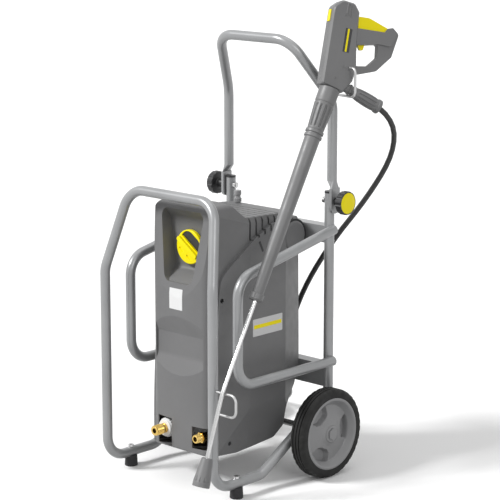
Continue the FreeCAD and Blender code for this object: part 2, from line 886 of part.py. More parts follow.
def housing_volume(reach):
    """The housing's outer form, or with a negative reach its hollow."""
    def profile(sketch):
        return grown(sketch, reach) if reach else sketch

    across, forward, upward = Vector(1, 0, 0), Vector(0, 1, 0), Vector(0, 0, 1)
    core = common(
        extrude(profile(side_outline()), across, "cheek_half*2", "cheek_half*2"),
        extrude(profile(plan_outline("body_half", "body_half - 15")), upward, "body_top + 50"),
        extrude(profile(front_outline("body_half")), forward, "body_rear + 50"),
    )
    cheeks = common(
        extrude(profile(cheek_outline()), across, "cheek_half*2", "cheek_half*2"),
        extrude(profile(plan_outline("cheek_half", "cheek_half - 16")), upward, "body_top + 50"),
        extrude(profile(front_outline("cheek_half")), forward, "body_rear + 50"),
    )
    return join(core, cheeks)


def dish(reach):
    """The recess round the rotary switch: a wedge seen from the side, a trapezoid from the front."""
    wedge = outline("YZ", [
        (20, 545), (80, 545, 6), ("dish_floor", 577, 14), ("dish_floor", 712, 20), (95, 738, 10), (20, 738),
    ])
    face = outline("XZ", [
        (-50, 542, 30), ("-dish_half", 738, 22), ("dish_half", 738, 22), (50, 542, 30),
    ])
    wedge_bar = extrude(grown(wedge, reach) if reach else wedge, Vector(1, 0, 0), 150, 150)
    face_bar = extrude(grown(face, reach) if reach else face, Vector(0, 1, 0), 200)
    return common(wedge_bar, face_bar)


def scoop(reach):
    """The shallow hollow across the front."""
    hollow = outline("YZ", [(20, 470), ("body_front", 470, 8), ("body_front + scoop_depth + 3", 405, 8),
                            ("body_front + scoop_depth + 3", 345, 40), ("body_front", 282, 20), (20, 282)])
    form = grown(hollow, reach) if reach else hollow
    return extrude(form, Vector(1, 0, 0), f"scoop_half + {reach}", f"scoop_half + {reach}")


def vents():
    """Slots across the top that run down both flanks."""
    return [
        box("cheek_half*3", "vent_slot", 90, "-cheek_half*1.5", f"vent_front + 10 + {k}*vent_pitch",
        f"vent_low + {6 * k}")
        for k in range(6)
    ]


def housing():
    """The shell in two halves, with openings for the connections, the switch, the drum and the vents."""
    outer = cut(housing_volume(0), join(dish(0), scoop(0)))
    inner = cut(housing_volume("-body_wall"), join(dish("body_wall"), scoop("body_wall")))
    stands = [
        cylinder(10, 60, f"{sx}*(pump_w/2 - 14)", f"unit_y + {sy}*(pump_depth/2 - 16)", "body_low - 20")
        for sx in (-1, 1) for sy in (-1, 1)
    ]
    stands = common(housing_volume(0), cut(join(*stands), box(400, 600, 100, -200, 0, "pump_low")))
    windows = [
        box(56, 60, 77, "inlet_x - 28", 30, "inlet_z - 45"),
        box(48, 60, 60, "outlet_x - 24", 30, "outlet_z - 32"),
    ]
    openings = [
        cylinder("switch_shaft/2 + running", 40, "switch_x", "dish_floor - 20", "switch_z", "Y"),
        cylinder("drum_r + 5", "cheek_half*3", "-cheek_half*1.5", "drum_y", "drum_z", "X"),
        cylinder(8, 30, -75, 380, "vent_top - 20"),
    ]
    for side in (-1, 1):
        openings.append(cylinder(6, 60, f"{side}*100 - 30 + {side}*30", 120, 508, "X"))
        openings.append(cylinder(6, 60, f"{side}*100 - 30 + {side}*30", 147, 115, "X"))
    shell = cut(cut(outer, inner), join(*windows, *openings, *vents()))
    zone = box(400, "seam_y", 800, -200, 0, "body_low + 18")
    node(common(shell, zone), "front_hood")
    node(join(cut(shell, zone), stands), "rear_housing")


def hood_screw(side):
    """Screws in the hood's flanks, with cross slots."""
    screws = []
    for y, z, reach in ((120, 508, "body_half - 2"), (147, 115, "body_half + 2")):
        turn = "X" if side == "1" else "-X"
        head = cylinder(6, 6, f"{side}*({reach} - 10)", y, z, turn)
        slot = box(4, 1.6, 8, f"{side}*({reach} - 4) - 2", f"{y} - 0.8", f"{z} - 4")
        screws.append(cut(head, slot))
    return join(*screws)


def outlet_drum():
    """The round end piece seen behind the flanks, which passes through the housing."""
    half = "drum_half"
    owner = body("outlet_drum")
    spin(owner, body_sketch(owner, "XZ", [
        (0, f"-{half}"), ("drum_r", f"-{half}", 8), ("drum_r", half, 8), (0, half),
    ]))
    return node(owner, "rear_drum", 0, "drum_y", "drum_z", AXIS_TURN["X"])


def seal_rings(side):
    outer = cylinder("drum_r + 5", 34, f"{side}*(body_half - 17) - 17", "drum_y", "drum_z", "X")
    return cut(outer, cylinder("drum_r", 60, f"{side}*(body_half - 17) - 30", "drum_y", "drum_z", "X"))


def vent_plug():
    """The ribbed filler plug on top of the housing."""
    owner = body("vent_plug")
    spin(owner, body_sketch(owner, "XZ", [
        (0, "vent_top - 14"), (8, "vent_top - 14"), (8, "vent_top - 2"), (10.5, "vent_top - 2"), (10.5,
        "vent_top + 8"),
        (8, "vent_top + 10"), (8, "vent_top + 16"), (10, "vent_top + 18"), (10, "vent_top + 30", 2), (0,
        "vent_top + 30"),
    ]))
    rib = body_circle(owner, "XY", [(11, 0, 1.2)], "vent_top - 2")
    around(owner, [pocket(owner, rib, 40, reverse=True)], 14)
    return node(owner, "vent_plug", -75, 380)


# Rotary switch

def knob_turn():
    """Front face of the switch, with its bar turned down to the right."""
    return AXIS_TURN["-Y"].multiply(Rotation(Vector(0, 0, 1), -35))


def switch_knob():
    """A thick disc with a raised bar across it, a hollow for the dark insert and a shaft."""
    owner = body("switch_knob")
    spin(owner, body_sketch(owner, "XZ", [
        (0, -42), ("switch_shaft/2", -42), ("switch_shaft/2", -2), ("switch_r - 4", -2), ("switch_r", 2),
        ("switch_r", 12, 3), (0, 14, ),
    ]))
    hollow = body_sketch(owner, "XY", [(-38, 9, 1.5), (-38, 38, 27), (38, 38, 27), (38, 9, 1.5)], 5)
    pocket(owner, hollow, 20, reverse=True)
    ridge = body_sketch(owner, "XY", [(-41, -6, 4), (-41, 6, 4), (41, 6, 4), (41, -6, 4)], 4)
    pad(owner, ridge, "switch_t - 4")
    for start in (-26, 6):
        nick = body_sketch(owner, "XY", [(start, -26, 2), (start, -21, 2), (start + 20, -21, 2),
            (start + 20, -26, 2)], 10)
        pocket(owner, nick, 10, reverse=True)
    return node(owner, "switch_knob", "switch_x", "dish_floor - 2.5", "switch_z", knob_turn())


def switch_insert():
    owner = body("switch_insert")
    sketch = body_sketch(owner, "XY", [(-37, 10), (-37, 37, 25), (37, 37, 25), (37, 10)], 5)
    pad(owner, sketch, 4)
    return node(owner, "switch_insert", "switch_x", "dish_floor - 2.5", "switch_z", knob_turn())


def switch_box():
    """The switch behind the dish, with a bearing for the knob's shaft."""
    case = box(64, 42, 70, "switch_x - 32", "dish_floor + body_wall", "switch_z - 35")
    shaft = cylinder("switch_shaft/2 + running", 40, "switch_x", "dish_floor", "switch_z", "Y")
    return node(cut(case, shaft), "switch_box")


# Pump, motor and water connections

def pump_block():
    """The pump's casting, with the swash plate's chamber, piston bores and threads for both fittings."""
    block = outline("XY", [
        ("-pump_w/2", "unit_y - pump_depth/2", 16), ("-pump_w/2", "unit_y + pump_depth/2", 16),
        ("pump_w/2", "unit_y + pump_depth/2", 16), ("pump_w/2", "unit_y - pump_depth/2", 16),
    ], 0, 0, "pump_low")
    form = extrude(block, Vector(0, 0, 1), "pump_top - pump_low")
    chamber = cylinder("swash_r + 5", 200, 0, "unit_y", "swash_z - 30")
    bearing = cylinder("shaft_d/2 + running", 60, 0, "unit_y", "swash_z - 60")
    bores = [
        cylinder("piston_d/2", 100, f"piston_ring*cos({a})", f"unit_y + piston_ring*sin({a})",
        "swash_z - 100")
        for a in (90, 210, 330)
    ]
    ports = [
        cylinder("inlet_r", 14, "inlet_x", "unit_y - pump_depth/2", "inlet_z", "Y"),
        cylinder("water_bore", 44, "inlet_x", "unit_y - pump_depth/2", "inlet_z", "Y"),
        cylinder("outlet_r", 14, "outlet_x", "unit_y - pump_depth/2", "outlet_z", "Y"),
        cylinder("water_bore", 44, "outlet_x", "unit_y - pump_depth/2", "outlet_z", "Y"),
    ]
    return node(cut(form, chamber, bearing, *bores, *ports), "pump_block")


def pistons():
    rods = [
        cylinder("piston_d/2", 86, f"piston_ring*cos({a})", f"unit_y + piston_ring*sin({a})",
        "swash_z - 100")
        for a in (90, 210, 330)
    ]
    return node(join(*rods), "pistons")


def motor_stator():
    """The motor's case with cooling fins and an upper bearing plate."""
    owner = body("motor_stator")
    top = "pump_top + stator_height"
    spin(owner, body_sketch(owner, "XZ", [
        ("stator_bore", "pump_top"), ("stator_r", "pump_top"), ("stator_r", top), ("shaft_d/2 + running",
        top),
        ("shaft_d/2 + running", f"{top} - 8"), ("stator_bore", f"{top} - 8"),
    ]))
    fin = body_circle(owner, "XY", [("stator_r + 1", 0, 3)], "pump_top + 12")
    around(owner, [pocket(owner, fin, "stator_height - 24", reverse=True)], 24)
    return node(owner, "motor_stator", 0, "unit_y")


def motor_rotor():
    top = "pump_top + stator_height"
    owner = turned("motor_rotor", [
        (0, "swash_z - 58"), ("shaft_d/2", "swash_z - 58"), ("shaft_d/2", "pump_top + 14"),
        ("stator_bore - 1", "pump_top + 14"), ("stator_bore - 1", f"{top} - 14"), ("shaft_d/2",
        f"{top} - 14"),
        ("shaft_d/2", f"{top} + 34"), (0, f"{top} + 34"),
    ])
    return node(owner, "motor_rotor", 0, "unit_y")


def fan():
    """A hub with a disc and seven straight blades above the motor."""
    owner = body("fan")
    base = "pump_top + stator_height + 4"
    spin(owner, body_sketch(owner, "XZ", [
        ("shaft_d/2", base), ("fan_r", base), ("fan_r", f"{base} + 2"), ("shaft_d/2 + 6", f"{base} + 2"),
        ("shaft_d/2 + 6", f"{base} + 26"), ("shaft_d/2", f"{base} + 26"),
    ]))
    blade = body_sketch(owner, "XY", [(14, -1.2), ("fan_r - 1", -1.2), ("fan_r - 1", 1.2), (14, 1.2)], base)
    around(owner, [pad(owner, blade, 24)], 7)
    return node(owner, "fan", 0, "unit_y")


def swash_plate():
    """A disc on the shaft whose lower face is oblique."""
    disc = cylinder("swash_r", 30, 0, 0, "swash_z - 12")
    wedge = bind(doc.addObject("Part::Box", "Box"), Length=200, Width=200, Height=60)
    lean = Placement(Vector(), Rotation(Vector(0, 1, 0), 6))
    wedge.Placement = lean.multiply(Placement(Vector(-100, -100, num("swash_z - 68")), Rotation()))
    shaft = cylinder("shaft_d/2", 100, 0, 0, "swash_z - 40")
    return node(cut(disc, wedge, shaft), "swash_plate", 0, "unit_y")


def inlet_fitting():
    """The brass inlet with a collar behind the union nut."""
    length = "unit_y - pump_depth/2 - inlet_end_y"
    owner = turned("inlet_fitting", [
        ("water_bore", -14), ("inlet_r", -14), ("inlet_r", 0), ("inlet_r + 5", 0), ("inlet_r + 5",
        f"{length} - 68"),
        ("inlet_r", f"{length} - 68"), ("inlet_r", f"{length} - thread_len - undercut"),
        ("inlet_r - 1", f"{length} - thread_len - undercut"), ("inlet_r - 1", f"{length} - thread_len"),
        ("inlet_r", f"{length} - thread_len"), ("inlet_r", f"{length} - 1"), ("inlet_r - 1", length),
        ("water_bore", length),
    ])
    return node(owner, "inlet_fitting", "inlet_x", "unit_y - pump_depth/2", "inlet_z", AXIS_TURN["-Y"])


def inlet_nut():
    """The light plastic union nut, ribbed for the hand."""
    owner = turned("inlet_nut", [
        ("inlet_r + running", 0), ("nut_r - 2", 0), ("nut_r", 3), ("nut_r", "nut_t - 3"), ("nut_r - 3",
        "nut_t"),
        ("inlet_r + running", "nut_t"),
    ])
    rib = body_circle(owner, "XY", [("nut_r + 2", 0, 3)], 4)
    around(owner, [pocket(owner, rib, "nut_t", reverse=True)], 20)
    return node(owner, "inlet_nut", "inlet_x", "inlet_end_y + 68 - gap", "inlet_z", AXIS_TURN["-Y"])


def outlet_fitting():
    """The brass high-pressure outlet with a hexagon."""
    length = "unit_y - pump_depth/2 - outlet_end_y"
    owner = turned("outlet_fitting", [
        ("water_bore", -14), ("outlet_r", -14), ("outlet_r", f"{length} - 1"), ("outlet_r - 1", length),
        ("water_bore", length),
    ])
    flats = [(f"15*cos({60 * k})", f"15*sin({60 * k})") for k in range(6)]
    pad(owner, body_sketch(owner, "XY", flats, f"{length} - 32"), 12)
    pocket(owner, body_circle(owner, "XY", [(0, 0, "water_bore")], -20), 200, reverse=True)
    return node(owner, "outlet_fitting", "outlet_x", "unit_y - pump_depth/2", "outlet_z", AXIS_TURN["-Y"])


def machine():
    housing()
    pair("hood_screws", hood_screw)
    outlet_drum()
    pair("seal_rings", seal_rings)
    vent_plug()
    switch_knob()
    switch_insert()
    switch_box()
    pump_block()
    pistons()
    motor_stator()
    motor_rotor()
    fan()
    swash_plate()
    inlet_fitting()
    inlet_nut()
    outlet_fitting()


# Spray gun and lance, on the line from the joint down to the kink

def lance_up():
    """Direction of the lance from the kink to the joint."""
    return Vector(0, num("joint_y - kink_y"), num("joint_z - kink_z")).normalize()


def gun_axes():
    """The handle's direction and the gun body's axis, turned from the lance's."""
    up = lance_up()
    turn, tilt = math.radians(num("gun_turn")), math.radians(num("gun_tilt"))
    back = Vector(math.sin(turn), math.cos(turn) * up.z, -math.cos(turn) * up.y)
    axis = up * math.cos(tilt) - back * math.sin(tilt)
    handle = back * math.cos(tilt) + up * math.sin(tilt)
    return handle, axis


def turn_to(x, y):
    """The rotation that takes the x and y axes to two directions."""
    return Rotation(x, y, x.cross(y), "XYZ")


def joint():
    return Vector(num("lance_x"), num("joint_y"), num("joint_z"))


def gun_point(along, up):
    """A point of the gun's mid-plane in the machine frame."""
    handle, axis = gun_axes()
    return joint() + handle * along + axis * up


def gun_node(thing, label):
    handle, axis = gun_axes()
    return node(thing, label, "lance_x", "joint_y", "joint_z", turn_to(handle, axis))


def slab(corners, half):
    """A plate of the gun, symmetric about its mid-plane; x runs along the handle and y up the gun."""
    return extrude(outline("XY", corners), Vector(0, 0, 1), half, half)


def gun_bodies():
    """Two mirrored shells of the gun, split on the mid-plane."""
    head = [
        (-33, 6.6, 3), (-33, 212, 22), (-10, 234, 18), (28, 232, 14), (44, 212, 4), (46, 171), (51, 120, 20),
        (60, 72, 12), (54, 30, 16), (30, -6, 3),
    ]
    rim = extrude(outline("XY", head), Vector(0, 0, 1), "gun_half - 5", "gun_half - 5")
    bevels = []
    for side in (1, -1):
        form = extrude(outline("XY", head, 0, 0, f"{side}*(gun_half - 5)"), Vector(0, 0, side), 5)
        form.TaperAngle = -42
        bevels.append(form)
    handle = slab([
        (38, 171), (46, 171), (127, 178), (134, 190, 3), (150, 195, 6), (164, 178, 8), (150, 144, 8),
        (114, 143, 4),
        (56, 128), (38, 128),
    ], "grip_half")
    guard = slab([
        (40, 200), (46, 171), (127, 178), (134, 190, 3), (150, 196, 6), (170, 182, 10), (158, 118, 8),
        (120, 72, 15),
        (76, 55), (40, 55),
    ], "guard_half")
    opening = slab([(56, 72), (94, 80, 10), (118, 108, 8), (114, 143, 6), (56, 128), (51, 110)], 40)
    press = slab([(42, 155), (42, 214), (60, 214), (146, 192), (146, 175), (130, 170)],
        "trigger_half + play")
    slot = slab([(51.5, 153), (88, 153), (88, 110), (51.5, 110)], "latch_half + play/2")
    pins = join(
        cylinder("pin_r + running", 24, 140, 183, -12), cylinder("pin_r + running", 24, 61, 138, -12),
    )
    grip_way = Vector(0.96, -0.28, 0)
    grip_root = stand(cylinder("root_r", 80), Vector(48, 12, 0) - grip_way * 20, grip_way)
    inlay = slab([(-36, 173), (-36, 205), (-30, 205), (-30, 173)], 7)
    lean = math.radians(num("gun_tilt"))
    stem_way = Vector(math.sin(lean), math.cos(lean), 0)
    stem = stand(cylinder("pipe_r", 60), stem_way * -40, stem_way)
    whole = join(rim, *bevels, handle, guard)
    whole = cut(whole, join(opening, press, slot, pins, grip_root, inlay, stem))
    low = box(400, 400, 60, -150, -100, -60)
    high = box(400, 400, 60, -150, -100, 0)
    gun_node(common(whole, low), "gun_body_left")
    gun_node(common(whole, high), "gun_body_right")


def gun_moves():
    """Trigger and safety latch, each with its pin, and the button on the front."""
    trigger = slab([(46.6, 203, 4), (78, 206, 30), (142, 189, 4), (145, 181), (139, 178), (50, 171.4)],
        "trigger_half")
    gun_node(join(trigger, cylinder("pin_r", 23, 140, 183, -11.5)), "trigger")
    latch = slab([(56, 143, 2), (79, 144, 2), (75, 119, 3), (66, 117, 4), (56, 132, 2)], "latch_half")
    gun_node(join(latch, cylinder("pin_r", 23, 61, 138, -11.5)), "safety_latch")
    gun_node(slab([(-35, 173.3, 1), (-35, 204.7, 1), (-30, 204.7), (-30, 173.3)], 6.7), "gun_button")


def hose_grip():
    """The ribbed grip on the hose's end, with a bore for the hose."""
    owner = turned("hose_grip", [
        ("hose_d/2", "-18"), ("root_r", "-18"), ("root_r", 4), (14.5, 6), (14.5, 10), ("root_r", 12),
        ("root_r", 18),
        (15.5, 20), (15.5, 24), (14.5, 26), (17.5, 42, 20), (19, 75, 30), (17, 94), (19.5, 97, 2), (19.5,
        105, 2),
        ("hose_d/2", 105),
    ])
    flute = body_circle(owner, "XY", [(21.5, 0, 4)], 46)
    around(owner, [pocket(owner, flute, 46, reverse=True)], 10)
    handle, axis = gun_axes()
    way = handle * 0.96 - axis * 0.28
    seat = gun_point(48, 12)
    return node(owner, "hose_grip", seat.x, seat.y, seat.z, Rotation(Vector(0, 0, 1), way))


def along_lance(owner, label):
    return node(owner, label, "lance_x", "joint_y", "joint_z", Rotation(Vector(0, 0, 1), lance_up() * -1))


def union_nut():
    """The ribbed nut that couples the lance to the gun."""
    owner = turned("union_nut", [
        ("pipe_r + running", "gap"), ("neck_r", "gap"), ("neck_r", 42, 4), (26, 46), ("nut_low_r",
        "nut_len"),
        ("pipe_r + running", "nut_len"),
    ])
    flute = body_circle(owner, "XY", [("neck_r + 2", 0, 3.6)], 47)
    around(owner, [pocket(owner, flute, "nut_len", reverse=True)], 16)
    return along_lance(owner, "union_nut")


def lance_grip():
    """The long tapering grip with two collars above and a thick collar below."""
    top, low = "nut_len + gap", "grip_len"
    owner = turned("lance_grip", [
        ("pipe_r", top), (24.5, top, 1), (24.5, "nut_len + 8", 1), (21.5, "nut_len + 9"), (21.5,
        "nut_len + 13"),
        (24, "nut_len + 14", 1), (24, "nut_len + 20", 1), ("grip_r", "nut_len + 22"), ("grip_low_r",
        f"{low} - 20"),
        (19, f"{low} - 18", 2), (19, f"{low} - 4", 2), (16, low, 1), ("pipe_r", low),
    ])
    nick = body_circle(owner, "XY", [(20.5, 0, 3)], f"{low} - 21")
    around(owner, [pocket(owner, nick, 40, reverse=True)], 6)
    return along_lance(owner, "lance_grip")


def nozzle_way():
    lean = math.radians(num("nozzle_lean"))
    return Vector(0, -math.sin(lean), -math.cos(lean))


def lance_pipe():
    """The steel pipe from inside the gun to the nozzle, bent at the kink."""
    kink = Vector(num("lance_x"), num("kink_y"), num("kink_z"))
    points = [joint() + lance_up() * 19, kink, kink + nozzle_way() * num("nozzle_len - 22")]
    return solid_node("lance_pipe", swept(rounded_wire(points, [num("pipe_bend") * 3]), num("pipe_r")))


def nozzle_guard():
    """The nozzle with its flared cup."""
    start, end = "nozzle_len - cup_len", "nozzle_len"
    owner = turned("nozzle_guard", [
        ("pipe_r", start), ("cup_top_r - 2", start), ("cup_top_r", f"{start} + 3"), ("cup_r",
        f"{end} - 12"), ("cup_r", end, 1),
        ("cup_r - 3.5", end, 1), ("cup_r - 5", f"{end} - 16"), (11, f"{end} - 18"), (6, f"{end} - 12"),
        (2, f"{end} - 12"),
        (2, f"{end} - 22"), ("pipe_r", f"{end} - 22"),
    ])
    flute = body_circle(owner, "XY", [("cup_r + 1", 0, 3.4)], f"{start} + 8")
    around(owner, [pocket(owner, flute, "cup_len - 22", reverse=True)], 12)
    return node(owner, "nozzle_guard", "lance_x", "kink_y", "kink_z", Rotation(Vector(0, 0, 1),
        nozzle_way()))


# Hose: from the gun's grip down behind the housing and into a coil on the floor

def hose_points():
    handle, axis = gun_axes()
    way = handle * 0.96 - axis * 0.28
    seat = gun_point(48, 12)
    start = Vector(num("coil_x"), num("coil_y - coil_outer"), num("hose_d/2"))
    free = [seat + way * 60, seat + way * 152]
    free += [Vector(*spot) for spot in ROUTE]
    return free + [start + Vector(num("hose_d"), 0, 0)]


ROUTE = [
    (290, 609, 862), (209, 590, 728), (112, 560, 602), (22, 538, 452), (-28, 531, 310), (-62, 524, 175),
    (-135, 510, 7.5),
]


def hose_radii(points):
    """Arc radii of the cord: 0.45 of the shorter run over the tangent of half the turn."""
    radii = []
    for before, corner, after in zip(points, points[1:], points[2:]):
        first, second = corner - before, after - corner
        radii.append(0.45 * min(first.Length, second.Length) / math.tan(first.getAngle(second) / 2))
    return radii


def hose():
    points = hose_points()
    radii = hose_radii(points)
    wire = rounded_wire(points, radii)
    runs = [(b - a).Length for a, b in zip(points, points[1:])]
    turns = [math.degrees((b - a).getAngle(c - b)) for a, b, c in zip(points, points[1:], points[2:])]
    print("hose runs", [round(run) for run in runs])
    print("hose turns", [round(turn) for turn in turns])
    print("hose radii", [round(radius) for radius in radii])
    tube = swept(wire, num("hose_d") / 2)
    print("hose length", round(wire.Length), "volume ratio",
        round(tube.Volume / wire.Length / math.pi / num("hose_d/2") ** 2, 4))
    return solid_node("hose", tube), wire.Length


def coil_wire():
    """Two layers wound inwards and two outwards, each half turn of two arcs."""
    x, y, z = num("coil_x"), num("coil_y"), num("hose_d/2")
    step = num("coil_pitch") / 2
    halves = int(num("coil_turns")) * 2
    levels, radii = [0.0], [num("coil_outer")]
    for layer in range(4):
        for _ in range(halves):
            radii.append(radii[-1] - step if layer % 2 == 0 else radii[-1] + step)
            levels.append(levels[-1])
        if layer < 3:
            radii.append(radii[-1])
            levels.append(levels[-1] + num("coil_rise"))
    spots = [
        Vector(x, y - radius if k % 2 == 0 else y + radius, z + level)
        for k, (radius, level) in enumerate(zip(radii, levels))
    ]
    lead = Vector(num("hose_d"), 0, 0)
    edges = [Part.LineSegment(spots[0] + lead, spots[0]).toShape()]
    for k, (start, end) in enumerate(zip(spots, spots[1:])):
        sign = -1 if k % 2 == 0 else 1
        half, rise = abs(end.y - start.y) / 2, (end.z - start.z) / 2
        reach = math.sqrt(half * half + rise * rise)
        middle = (start + end) * 0.5 + Vector(sign * reach, 0, 0)
        edges.append(arc_edge(start, start + Vector(sign * reach, 0, 0), middle))
        edges.append(arc_edge(middle, end + Vector(sign * reach, 0, 0), end))
    way = 1 if len(spots) % 2 == 0 else -1
    edges.append(Part.LineSegment(spots[-1], spots[-1] + lead * way).toShape())
    return Part.Wire(edges), spots[-1] + lead * way, way


def least_gap(wire, reach):
    """Least distance between two parts of the coil's centre line, less the diameter."""
    spots = wire.discretize(Number=1400)
    step = wire.Length / 1399
    skip = int(reach / step)
    least = 1e9
    for index, spot in enumerate(spots):
        for other in spots[index + skip:]:
            least = min(least, spot.distanceToPoint(other))
    return least - num("hose_d")


def hose_coil():
    wire, end, way = coil_wire()
    tube = wire.makePipeShell([Part.Wire([Part.Circle(
        wire.OrderedEdges[0].valueAt(wire.OrderedEdges[0].FirstParameter), Vector(1, 0, 0),
        num("hose_d") / 2,
    ).toShape()])], True, False)
    ratio = tube.Volume / wire.Length / math.pi / num("hose_d/2") ** 2
    print("coil length", round(wire.Length), "volume ratio", round(ratio, 4), "least self-gap",
        round(least_gap(wire, 120), 2))
    solid_node("hose_coil", tube)
    owner = turned("hose_coupling", [
        (0, 0), (8.2, 0), (8.2, 34), (10.5, 36), (10.5, 56), ("coupling_r - 2", 58), ("coupling_r", 60),
        ("coupling_r", "coupling_len"), (12, "coupling_len"), (12, "coupling_len - 14"), (0,
        "coupling_len - 14"),
    ])
    flats = body_circle(owner, "XY", [("coupling_r + 2", 0, 3)], 62)
    around(owner, [pocket(owner, flats, 22, reverse=True)], 16)
    node(owner, "hose_coupling", end.x, end.y, end.z, AXIS_TURN["X"] if way > 0 else AXIS_TURN["-X"])
    return wire.Length


def spray_set():
    gun_bodies()
    gun_moves()
    hose_grip()
    union_nut()
    lance_grip()
    lance_pipe()
    nozzle_guard()
    _, free_length = hose()
    coil_length = hose_coil()
    print("hose total", round(free_length + coil_length))


trolley()
machine()
spray_set()
doc.recompute()

for thing in doc.Objects:
    if "Invalid" in thing.State or "Error" in thing.State:
        raise RuntimeError(f"{thing.Name} ({thing.Label}) failed: {thing.State}")
low, high = Vector(1e9, 1e9, 1e9), Vector(-1e9, -1e9, -1e9)
for thing in nodes:
    if thing.Shape.isNull() or not thing.Shape.isValid():
        raise RuntimeError(f"{thing.Label} has no valid shape")
    thing.Shape.exportStep(f"parts/{thing.Label}.step")
    if thing.Label not in ("hose", "hose_coil", "hose_coupling"):
        bounds = thing.Shape.BoundBox
        low = Vector(min(low.x, bounds.XMin), min(low.y, bounds.YMin), min(low.z, bounds.ZMin))
        high = Vector(max(high.x, bounds.XMax), max(high.y, bounds.YMax), max(high.z, bounds.ZMax))
print(len(nodes), "nodes; box without the cord", low, high)
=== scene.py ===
import logging
import math
from dataclasses import dataclass
from enum import Enum
from typing import Callable, ClassVar, Sequence

import bmesh
import bpy
import numpy as np
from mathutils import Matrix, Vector


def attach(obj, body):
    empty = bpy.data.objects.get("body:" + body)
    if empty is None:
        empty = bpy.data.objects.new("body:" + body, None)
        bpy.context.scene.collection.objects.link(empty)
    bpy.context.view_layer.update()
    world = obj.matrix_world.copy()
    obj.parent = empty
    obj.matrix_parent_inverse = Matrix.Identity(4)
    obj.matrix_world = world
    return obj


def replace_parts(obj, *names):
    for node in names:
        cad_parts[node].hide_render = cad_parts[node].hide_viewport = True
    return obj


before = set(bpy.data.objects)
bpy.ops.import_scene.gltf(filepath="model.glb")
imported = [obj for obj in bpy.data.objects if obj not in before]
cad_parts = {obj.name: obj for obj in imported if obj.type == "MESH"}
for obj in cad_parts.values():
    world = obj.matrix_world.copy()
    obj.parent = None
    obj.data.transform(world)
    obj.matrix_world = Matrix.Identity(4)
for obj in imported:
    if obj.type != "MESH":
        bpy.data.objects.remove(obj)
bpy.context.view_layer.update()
LOG = logging.getLogger("pressure_washer")

Triple = tuple[float, float, float]
Colour = Triple
Pair = tuple[float, float]
Socket = bpy.types.NodeSocket
Shape = Callable[[np.ndarray, np.ndarray, np.ndarray], np.ndarray]

# The part's frame starts under the middle of the machine's box, and the machine's own zero is here.
MACHINE_X = -0.0226
MACHINE_Y = -0.2456


def machine(x: float, y: float, z: float) -> Vector:
    """A point given in millimetres in the machine's own frame, in metres in the part's frame."""
    return Vector((x / 1000 + MACHINE_X, y / 1000 + MACHINE_Y, z / 1000))


# Materials


